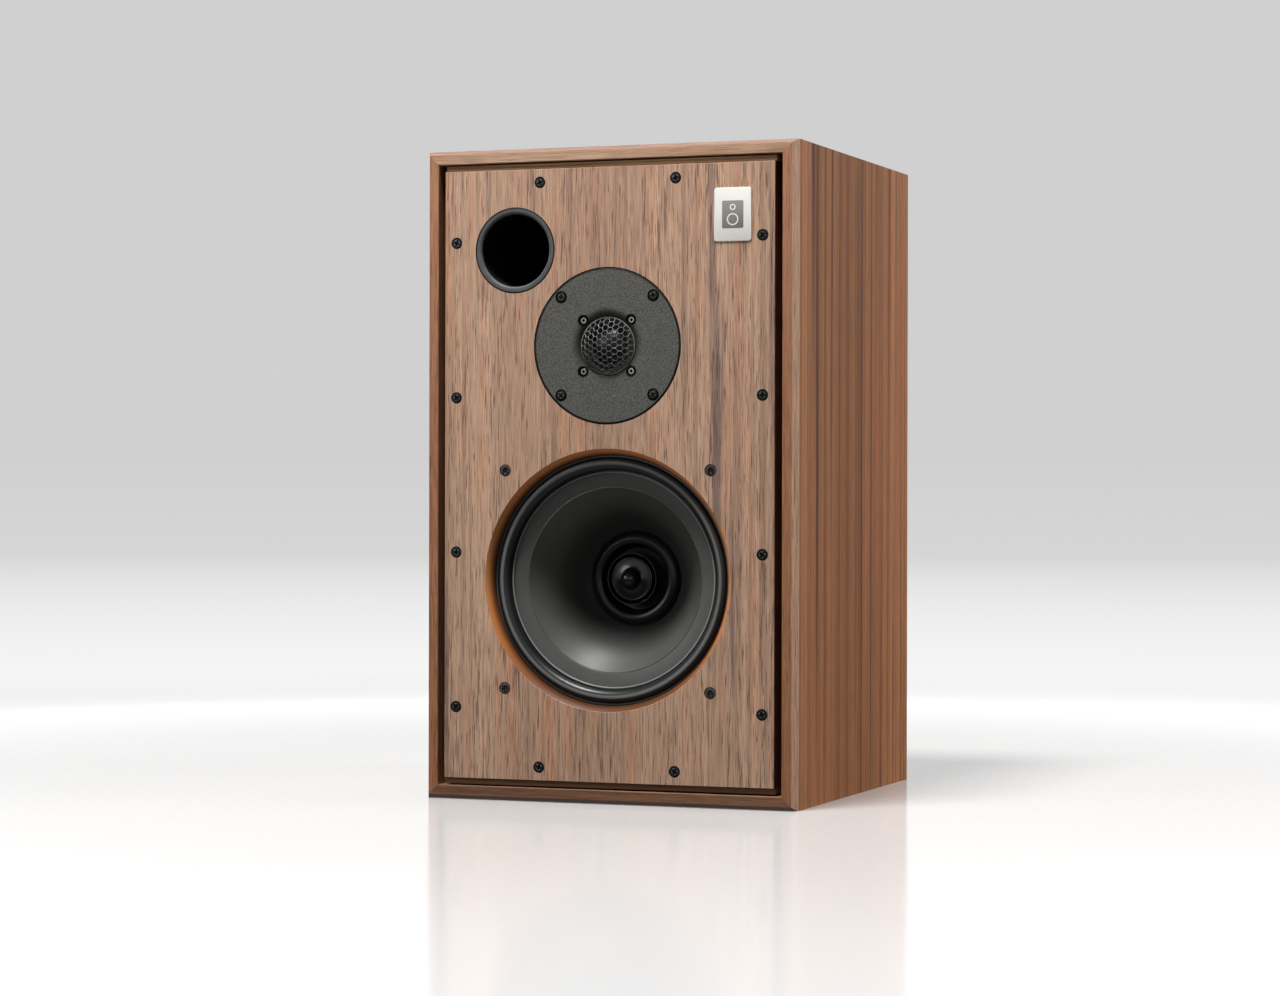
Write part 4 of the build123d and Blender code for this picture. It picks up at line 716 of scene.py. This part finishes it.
def make_surround():
    """Half roll of rubber with a flat rim outside and a small bead at its inner lip."""
    rim = SURROUND_RIM
    rim_front = depth_of(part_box("woofer_gasket")[1].y) - RUBBER
    lip_front = CONE_LIP_DEPTH - RUBBER
    outer_angle = -math.degrees(math.asin((ROLL_CENTRE[1] - rim_front) / ROLL_RADIUS))
    inner_angle = -180 - math.degrees(math.asin((lip_front - ROLL_CENTRE[1]) / ROLL_RADIUS))
    front = arc(ROLL_CENTRE, ROLL_RADIUS, outer_angle, inner_angle, 40)
    back = arc(ROLL_CENTRE, ROLL_RADIUS - RUBBER, inner_angle + 6, outer_angle - 6, 32)
    bead_radius = 0.7
    bead = arc((LIP_RADIUS + bead_radius, lip_front), bead_radius, 0, -180, 10)
    outline = (
        [(rim, rim_front + 0.2), (rim - 0.2, rim_front)]
        + front
        + bead
        + [(LIP_RADIUS, CONE_LIP_DEPTH), (back[0][0], CONE_LIP_DEPTH)]
        + back
        + [(back[-1][0], rim_front + RUBBER), (rim, rim_front + RUBBER)]
    )
    return lathe("woofer_surround_piece", WOOFER, outline, "rubber", crease=40)


def make_spider():
    """Corrugated cloth disc between the basket's seat and the voice coil."""
    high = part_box("woofer_spider")[1]
    wave, waves, thickness, steps = 1.3, 4, 0.6, 80
    middle_depth = depth_of(high.y) - thickness - 0.05
    outer = reach("woofer_spider")
    line = []
    for i in range(steps + 1):
        share = i / steps
        fade = min(1, 6 * share, 6 * (1 - share))
        depth = middle_depth - wave * fade * math.sin(2 * math.pi * waves * share)
        line.append((NECK_RADIUS + (SPIDER_SEAT - NECK_RADIUS) * share, depth))
    line.append((outer, middle_depth))
    outline = line + [(r, d + thickness) for r, d in reversed(line)]
    return lathe("woofer_spider_piece", WOOFER, outline, "spider", steps=160)


def make_neck_ring():
    """Glossy bead round the foot of the flare, with a soft inner slope."""
    inner, crest = 22.0, 54.5
    drop = (CONE_BACK_DEPTH - PAPER - THROAT[1]) * (THROAT[0] - inner)
    foot = THROAT[1] + drop / (THROAT[0] - NECK_RADIUS)
    outside = [(THROAT[0], THROAT[1] - 0.1), (32.3, 56.4), (29.6, crest + 0.2)]
    slope = outside + [(27.4, crest), (24.4, 56.6), (inner, foot)]
    return lathe("woofer_neck_ring_piece", WOOFER, flowing(slope, 8) + [(28.0, foot)], "neck", crease=50)


def make_plug():
    """Fixed plug in the middle: rounded nose on a flat face with a narrow raised rim."""
    radius = reach("woofer_phase_plug")
    low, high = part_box("woofer_phase_plug")
    tip, back = depth_of(low.y), depth_of(high.y)
    nose, face, rim_round = 6.2, 50.0, 0.75
    outline = (
        arc((0, tip + nose), nose, -90, 0, 14)
        + flowing([(nose, tip + nose), (nose + 0.5, face - 1.6), (nose + 2.2, face)], 6)[1:]
        + [(radius - 2.0, face + 0.1)]
        + arc((radius - rim_round, face + 0.5), rim_round, -150, 0, 10)
        + [(radius, back), (0, back)]
    )
    return lathe("woofer_phase_plug_piece", WOOFER, outline, "gloss", crease=40)


stand_for(make_cone(), CONE_BODY, "woofer_cone")
stand_for(make_neck_ring(), CONE_BODY, "woofer_neck_ring")
stand_for(make_plug(), "cabinet", "woofer_phase_plug")
surround = stand_for(make_surround(), None, "woofer_surround")
bend_with(surround)
spider = stand_for(make_spider(), None, "woofer_spider")
bend_with(spider)


# ---------------------------------------------------------------- tweeter
DOME_BODY = "tweeter_dome_assembly"
GUARD_APEX = depth_of(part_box("tweeter_guard")[0].y)
GUARD_SEAT = depth_of(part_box("tweeter_guard")[1].y)
GUARD_RADIUS = reach("tweeter_guard")
GUARD_PITCH = 4.15
WIRE_RADIUS = 0.27
DOME_ROLL_INNER = 12.7
DOME_ROLL_OUTER = 15.8


def cap_depth(radius, rim, apex, seat):
    """Depth of a round cap at a radius, from its apex and the rim that it stands on."""
    height = seat - apex
    sphere = (rim**2 + height**2) / (2 * height)
    return apex + sphere - math.sqrt(sphere**2 - radius**2)


def on_cap(x, z):
    """Place of a wire's middle on the guard's dome, in metres, from millimetres across and up."""
    depth = cap_depth(math.hypot(x, z), GUARD_RADIUS, GUARD_APEX, GUARD_SEAT - 0.4) + WIRE_RADIUS
    return Vector((TWEETER.x + x * MM, FRONT + depth * MM, TWEETER.z + z * MM))


def honeycomb(pitch, limit):
    """Edges of a honeycomb round (0, 0), cut off at a radius."""
    corner = pitch / math.sqrt(3)
    column_step = 1.5 * corner
    count = int(limit / column_step) + 2
    found = {}
    for column in range(-count, count + 1):
        for row in range(-count, count + 1):
            x, z = column * column_step, (row + 0.5 * (column % 2)) * pitch
            ring = [(x + across, z + up) for across, up in hexagon(corner)]
            for start, end in zip(ring, ring[1:] + ring[:1]):
                key = tuple(sorted((round(a, 3), round(b, 3)) for a, b in (start, end)))
                found[key] = sorted((start, end), key=lambda p: math.hypot(*p))
    edges = []
    for inner, outer in found.values():
        if math.hypot(*inner) >= limit:
            continue
        share = 1.0
        while math.hypot(*[a + (b - a) * share for a, b in zip(inner, outer)]) > limit:
            share -= 0.02
        edges.append((inner, tuple(a + (b - a) * share for a, b in zip(inner, outer))))
    return edges


def make_guard():
    """Honeycomb of thin wires on a dome, held by a ring that sits in the faceplate."""
    curve = bpy.data.curves.new("guard_wires", "CURVE")
    curve.dimensions = "3D"
    curve.bevel_depth = WIRE_RADIUS * MM
    curve.bevel_resolution = 2
    curve.use_fill_caps = True
    for start, end in honeycomb(GUARD_PITCH, GUARD_RADIUS - 0.6):
        spline = curve.splines.new("POLY")
        spline.points.add(1)
        for point, place in zip(spline.points, (start, end)):
            point.co = (*on_cap(*place), 1)
    wires = add_object("guard_wires", curve)
    depsgraph = bpy.context.evaluated_depsgraph_get()
    mesh = bpy.data.meshes.new_from_object(wires.evaluated_get(depsgraph))
    bpy.data.objects.remove(wires)
    guard = piece_of("tweeter_guard_piece", mesh, "mesh", crease=50)
    rim = eased([
        (GUARD_RADIUS - 0.9, GUARD_SEAT - 1.3), (GUARD_RADIUS, GUARD_SEAT - 0.9),
        (GUARD_RADIUS, GUARD_SEAT), (GUARD_RADIUS - 0.6, GUARD_SEAT),
    ], 0.25)
    return guard, lathe("tweeter_guard_rim", TWEETER, rim, "mesh", steps=128)


def make_dome():
    """Thin metal dome with a small turned-down edge."""
    low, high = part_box("tweeter_dome")
    radius, thickness = reach("tweeter_dome"), 0.4
    apex, base = depth_of(low.y), depth_of(high.y) - 0.1
    front = [(r, cap_depth(r, radius, apex, base - 0.2)) for r in np.linspace(0, radius, 24)]
    back = [(max(r - thickness, 0), min(d + thickness, base)) for r, d in reversed(front)]
    return lathe("tweeter_dome_piece", TWEETER, front + back, "dome", steps=128)


def make_dome_edge():
    """Small half roll of coated cloth round the dome."""
    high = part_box("tweeter_surround")[1]
    outer, back = reach("tweeter_surround"), depth_of(high.y)
    flat, thickness = back - 0.4, 0.4
    centre = ((DOME_ROLL_OUTER + DOME_ROLL_INNER) / 2, flat)
    radius = (DOME_ROLL_OUTER - DOME_ROLL_INNER) / 2
    front = [(outer, flat), (DOME_ROLL_OUTER, flat)] + arc(centre, radius, 0, -180, 20)[1:]
    under = arc((centre[0], back), radius - thickness, -180, 0, 16)
    outline = front + [(DOME_ROLL_INNER, back)] + under + [(outer, back)]
    return lathe("tweeter_surround_piece", TWEETER, outline, "coated_cloth", steps=128)


for part in make_guard():
    stand_for(part, "cabinet", "tweeter_guard")
stand_for(make_dome(), DOME_BODY, "tweeter_dome")
dome_edge = stand_for(make_dome_edge(), None, "tweeter_surround")
bend_with(dome_edge)


# ---------------------------------------------------------------- port and badge
def make_port():
    """Flanged tube with a rounded mouth."""
    flange, bore, tube = reach("port_tube"), 25.5, 27.5
    length = depth_of(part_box("port_tube")[1].y)
    mouth_round, rim_round, flange_back = 2.0, 0.7, 3.0
    outline = (
        arc((bore + mouth_round, mouth_round), mouth_round, 180, 270, 12)
        + arc((flange - rim_round, rim_round), rim_round, -90, 0, 8)
        + [(flange, flange_back), (tube, flange_back), (tube, length), (bore, length)]
    )
    return lathe("port_tube_piece", PORT, outline, "port")


def plate(name, look, centre, width, height, corner, front, back, bevel=0.15):
    """Thin flat plate with rounded corners, facing the front; sizes in millimetres."""
    ring, steps = [], 8
    for quarter, (sx, sz) in enumerate(((1, 1), (-1, 1), (-1, -1), (1, -1))):
        for k in range(steps + 1):
            turn = math.radians(90 * quarter + 90 * k / steps)
            x = sx * (width / 2 - corner) + corner * math.cos(turn)
            z = sz * (height / 2 - corner) + corner * math.sin(turn)
            ring.append((x, z))
    layers = [
        (1 - 2 * bevel / width, front),
        (1 - 0.6 * bevel / width, front + 0.3 * bevel),
        (1, front + bevel),
        (1, back),
    ]
    points = [
        (centre.x + x * share * MM, FRONT + depth * MM, centre.z + z * share * MM)
        for share, depth in layers
        for x, z in ring
    ]
    count = len(ring)
    faces = [tuple(range(count)), tuple(range(len(points) - count, len(points)))]
    for layer in range(len(layers) - 1):
        for k in range(count):
            a, b = layer * count + k, layer * count + (k + 1) % count
            faces.append((a, b, b + count, a + count))
    return piece_of(name, mesh_of(name, points, faces), look, crease=40)


def make_badge():
    """White plate with a plain pictogram of a speaker, raised a little: cabinet outline, two drivers."""
    low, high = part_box("badge_plate")
    centre = (low + high) / 2
    width, height = (high.x - low.x) / MM, (high.z - low.z) / MM
    front = depth_of(low.y)
    relief, line = 0.12, 0.9
    field_width, field_height = 15.5, 19.0
    face = front + relief
    parts = [
        plate("badge_plate_piece", "badge", centre, width, height, 2.0, face, 0.0, 0.25),
        plate(
            "badge_field", "badge_grey", centre, field_width, field_height, 1.0,
            front + 0.04, face + 0.05, 0.05,
        ),
    ]
    for name, up, outer in (("badge_ring_low", -3.4, 4.2), ("badge_ring_high", 5.0, 2.2)):
        place = centre + Vector((0, 0, up * MM))
        ring = [(outer, face), (outer, front), (outer - line, front), (outer - line, face)]
        parts.append(lathe(name, place, ring, "badge", steps=64))
    return parts


stand_for(make_port(), "cabinet", "port_tube")
for part in make_badge():
    stand_for(part, "cabinet", "badge_plate")


# ---------------------------------------------------------------- screws
def cross(reach_mm, half_width):
    """Outline of a cross recess."""
    r, w = reach_mm, half_width
    quarter = [(r, -w), (r, w), (w, w)]
    outline = []
    for _ in range(4):
        outline += quarter
        quarter = [(-z, x) for x, z in quarter]
    return outline


def add_head(shape, place, turn, rim, recess, depth, taper):
    """Adds a screw head: a top with a recess, then rings of (radius, depth) out and back round it."""

    def put(x, z, back):
        c, s = math.cos(turn), math.sin(turn)
        across, up = x * c - z * s, x * s + z * c
        return shape.verts.new((place.x + across * MM, place.y + back * MM, place.z + up * MM))

    sides = 40
    turns = [2 * math.pi * k / sides for k in range(sides)]
    rings = [[put(r * math.cos(t), r * math.sin(t), d) for t in turns] for r, d in rim]
    mouth = [put(x, z, rim[0][1]) for x, z in recess]
    floor = [put(x * taper, z * taper, rim[0][1] + depth) for x, z in recess]
    edges = []
    for loop in (rings[0], mouth):
        edges += [shape.edges.new(pair) for pair in zip(loop, loop[1:] + loop[:1])]
    top = bmesh.ops.triangle_fill(shape, use_beauty=True, edges=edges)["geom"]
    for part in top:
        if isinstance(part, bmesh.types.BMFace):
            part.material_index = 1
    for inner, outer in list(zip(rings, rings[1:])) + [(mouth, floor)]:
        for k in range(len(inner)):
            after = (k + 1) % len(inner)
            shape.faces.new((inner[k], inner[after], outer[after], outer[k]))
    shape.faces.new(floor)
    shape.faces.new(rings[-1])


def make_screws(node, rim_look, face_look, rim, recess, depth, taper=0.5, spacing=9.0):
    """Detailed heads and shanks in place of a CAD node of screws, each turned a little differently."""
    shape = bmesh.new()
    for i, (low, high) in enumerate(groups(node, spacing)):
        place = Vector(((low.x + high.x) / 2, low.y, (low.z + high.z) / 2))
        length = (high.y - low.y) / MM
        turn = math.radians(37 * i + 12)
        add_head(shape, place, turn, rim + [(rim[-1][0], length)], recess, depth, taper)
    mesh = bpy.data.meshes.new(node + "_piece")
    shape.to_mesh(mesh)
    shape.free()
    return stand_for(piece_of(node + "_piece", mesh, rim_look, face_look, crease=30), "cabinet", node)


def sunk_rim(head, shank):
    """Countersunk head: raised middle, a step down to its edge, cone under it, shank."""
    return [
        (head * 0.64, 0.08), (head * 0.7, 0.16), (head * 0.74, 0.5), (head * 0.96, 0.55), (head, 0.62),
        (shank, head - shank + 0.7),
    ]


def pan_rim(head, height, shank):
    """Pan head: crowned top with a round shoulder."""
    return [
        (head * 0.66, 0.0), (head * 0.8, 0.1), (head * 0.93, 0.35), (head, 0.8),
        (head, height), (shank, height),
    ]


def cap_rim(head, height, shank):
    """Socket cap: a narrow land round the socket, with a sloping shoulder; on the inner screws the land is
    bright metal and the shoulder and socket are painted black as shade.
    """
    return [(head * 0.72, 0.0), (head * 0.9, 0.35), (head, 0.8), (head, height), (shank, height)]


SUNK = sunk_rim(head=4.0, shank=2.0)
PHILLIPS = cross(reach_mm=2.35, half_width=0.7)
SOCKET = hexagon(1.25)
# The face look of the black screws here and below is a painted sheen on their flat tops.
BIG_SCREWS = (
    ("baffle_screws", "black_screw", "screw_face_sheen"),
    ("rear_panel_screws", "black_screw", "screw_face_sheen"),
    ("woofer_bolts", "grey_screw", "black_screw"),
)
for node, rim_look, face_look in BIG_SCREWS:
    make_screws(node, rim_look, face_look, SUNK, PHILLIPS, 1.5)
make_screws(
    "tweeter_mount_screws", "black_screw", "screw_face_sheen",
    pan_rim(MOUNT_HEAD, 2.0, 2.0), cross(2.0, 0.62), 1.2,
)
make_screws(
    "terminal_plate_screws", "black_screw", "screw_face_sheen",
    pan_rim(3.0, 1.8, 1.5), cross(1.6, 0.4), 1.1,
)
# The shoulder and socket of these heads are painted black as shade round their bright metal land.
make_screws(
    "tweeter_inner_screws", "black_screw", "bright_screw",
    cap_rim(INNER_HEAD, 1.6, 1.5), SOCKET, 1.1, taper=0.98,
)


# ---------------------------------------------------------------- linings inside
# Spacing of the foam's peaks in metres, and its thickness between them as a share of a peak's
FOAM_PITCH = 0.03
FOAM_VALLEY = 0.45


def make_linings():
    """Foam slabs with rounded peaks, as acoustic foam has."""
    shape = bmesh.new()
    for low, high in split_boxes("foam_linings"):
        add_peaked_slab(shape, low, high)
    mesh = bpy.data.meshes.new("foam_linings_piece")
    shape.to_mesh(mesh)
    shape.free()
    return piece_of("foam_linings_piece", mesh, "foam", crease=60)


def split_boxes(node):
    """Boxes of a CAD node's two solids, one on each side of the cabinet."""
    sides = {}
    for vertex in nodes[node].data.vertices:
        sides.setdefault(vertex.co.x > 0, []).append(vertex.co)
    return [(Vector(map(min, *places)), Vector(map(max, *places))) for places in sides.values()]


def add_peaked_slab(shape, low, high):
    """Adds a slab whose face towards the middle of the cabinet is a field of rounded peaks."""
    inwards = low.x < 0
    wall, crest = (low.x, high.x) if inwards else (high.x, low.x)
    rows, columns = 48, 56
    grid = []
    for i in range(rows + 1):
        line = []
        for k in range(columns + 1):
            y = low.y + (high.y - low.y) * i / rows
            z = low.z + (high.z - low.z) * k / columns
            swell = math.cos(2 * math.pi * y / FOAM_PITCH) + math.cos(2 * math.pi * z / FOAM_PITCH)
            x = wall + (crest - wall) * (FOAM_VALLEY + (1 - FOAM_VALLEY) * (0.5 + 0.25 * swell))
            line.append((shape.verts.new((x, y, z)), shape.verts.new((wall, y, z))))
        grid.append(line)
    for i in range(rows):
        for k in range(columns):
            cell = grid[i][k], grid[i + 1][k], grid[i + 1][k + 1], grid[i][k + 1]
            for side in (0, 1):
                shape.faces.new([corner[side] for corner in cell])
    border = [grid[i][0] for i in range(rows)] + [grid[rows][k] for k in range(columns)]
    border += [grid[i][columns] for i in range(rows, 0, -1)] + [grid[0][k] for k in range(columns, 0, -1)]
    for here, there in zip(border, border[1:] + border[:1]):
        shape.faces.new((here[0], there[0], there[1], here[1]))


stand_for(make_linings(), "cabinet", "foam_linings")


# ---------------------------------------------------------------- stage, light, camera
def ring_surface(name, profile, steps=96):
    """Open surface turned about the vertical axis from (radius, height) points in metres."""
    turns = np.linspace(0, 2 * math.pi, steps, endpoint=False)
    points = [(r * math.cos(t), r * math.sin(t), z) for t in turns for r, z in profile]
    count = len(profile)
    faces = [
        (i * count + k, (i + 1) % steps * count + k, (i + 1) % steps * count + k + 1, i * count + k + 1)
        for i in range(steps)
        for k in range(count - 1)
    ]
    mesh = mesh_of(name, points, faces)
    mesh.shade_smooth()
    surface = add_object(name, mesh)
    return surface


def make_stage():
    """Pale glossy floor that gets matt further out and fades into a backdrop with its own glow."""
    floor_end, bend, wall_top = 9.0, 3.0, 7.0
    floor = ring_surface("floor", [(0.0, 0.0), (0.4, 0.0), (1.5, 0.0), (4.0, 0.0), (floor_end, 0.0)])
    sweep = [math.radians(90 * i / 16) for i in range(17)]
    wall = [(floor_end + bend * math.sin(t), bend - bend * math.cos(t)) for t in sweep]
    backdrop = ring_surface("backdrop", wall + [(floor_end + bend, wall_top)])
    finish = Finish("stage_paper")
    flat = finish.length(finish.axis("X"), finish.axis("Y"))
    # The way out along the floor; height on the backdrop adds twelve times as much
    route = finish.calc("ADD", flat, finish.calc("MULTIPLY", finish.axis("Z"), 12.0))
    ramp = finish.tree.nodes.new("ShaderNodeValToRGB")
    far = 20.0
    finish.feed(ramp.inputs["Fac"], finish.calc("DIVIDE", route, far))
    stops = ((0.6, 252), (1.2, 247), (4.6, 232), (9.0, 214), (14.6, 208))
    while len(ramp.color_ramp.elements) < len(stops):
        ramp.color_ramp.elements.new(0.5)
    for element, (place, tone) in zip(ramp.color_ramp.elements, stops):
        element.position = place / far
        element.color = srgb(tone, tone, tone)
    glow = finish.step(route, 0.35, 1.7, 0.12, 1.0)
    finish.shade("Specular IOR Level", finish.step(route, 0.5, 1.4, 0.35, 0.0))
    finish.shade("Emission Color", ramp.outputs["Color"])
    finish.shade("Emission Strength", glow)
    paper = finish.mix(glow, srgb(230, 228, 227), srgb(0, 0, 0))
    grain = finish.noise(140, 2)
    gloss = finish.step(grain, 0.3, 0.7, 0.1, 0.14)
    matt = finish.step(route, 0.9, 1.4)
    material = finish.done(paper, finish.calc("MAXIMUM", gloss, matt))
    for surface in (floor, backdrop):
        surface.data.materials.append(material)
        surface.visible_diffuse = False
    floor.visible_glossy = False


def add_softbox(name, place, side, power, target):
    """Square soft light aimed at a place."""
    lamp = bpy.data.lights.new(name, "AREA")
    lamp.shape = "RECTANGLE"
    lamp.size = lamp.size_y = side
    lamp.energy = power
    light = add_object(name, lamp)
    light.location = place
    light.rotation_euler = (Vector(target) - Vector(place)).to_track_quat("-Z", "Y").to_euler()


def make_lights():
    """Softboxes overhead, front left, right, front right and behind, in a dim room.

    The world's lower half glows in place of the light that the pale floor would throw back.
    """
    centre = (0, 0, 0.23)
    add_softbox("overhead", (-0.12, -0.72, 2.1), 0.45, 60, centre)
    add_softbox("front_left", (-1.9, -2.0, 1.3), 1.2, 14.5, centre)
    add_softbox("right", (2.3, 0.35, 0.75), 0.8, 30, centre)
    add_softbox("front_right", (1.6, -2.6, 0.5), 0.8, 1.5, centre)
    add_softbox("behind", (0.25, 2.6, 1.7), 1.4, 24, centre)
    world = bpy.data.worlds.new("studio")
    world.use_nodes = True
    tree = world.node_tree
    direction = tree.nodes.new("ShaderNodeTexCoord").outputs["Generated"]
    split = tree.nodes.new("ShaderNodeSeparateXYZ")
    tree.links.new(direction, split.inputs[0])
    total = tree.nodes.new("ShaderNodeMath")
    glows = ((0.0, 0.8, 0.02, 0.11), (-0.15, -0.85, 0.0, 0.32))
    for i, glow in enumerate(glows):
        height = tree.nodes.new("ShaderNodeMapRange")
        tree.links.new(split.outputs["Z"], height.inputs["Value"])
        set_range(height, *glow)
        tree.links.new(height.outputs["Result"], total.inputs[i])
    tree.links.new(total.outputs["Value"], tree.nodes["Background"].inputs["Strength"])
    tree.nodes["Background"].inputs["Color"].default_value = (1, 1, 1, 1)
    bpy.context.scene.world = world


def make_camera():
    """Long lens a little above the woofer's middle, to the right of the front."""
    place = Vector((0.8191, -2.23538, 0.21575))
    yaw, pitch, roll = math.radians(20.734), math.radians(-0.047), 0.0021
    ahead = Vector((-math.sin(yaw) * math.cos(pitch), math.cos(yaw) * math.cos(pitch), math.sin(pitch)))
    right = Vector((math.cos(yaw), math.sin(yaw), 0))
    up = right.cross(ahead)
    right, up = right * math.cos(roll) + up * math.sin(roll), up * math.cos(roll) - right * math.sin(roll)
    data = bpy.data.cameras.new("camera")
    data.sensor_fit = "HORIZONTAL"
    data.sensor_width = 36.0
    data.lens = 90.88
    data.clip_end = 100.0
    camera = add_object("camera", data)
    camera.matrix_world = Matrix.Translation(place) @ Matrix((right, up, -ahead)).transposed().to_4x4()
    bpy.context.scene.camera = camera


make_stage()
make_lights()
make_camera()
bpy.context.scene.view_settings.view_transform = "Standard"
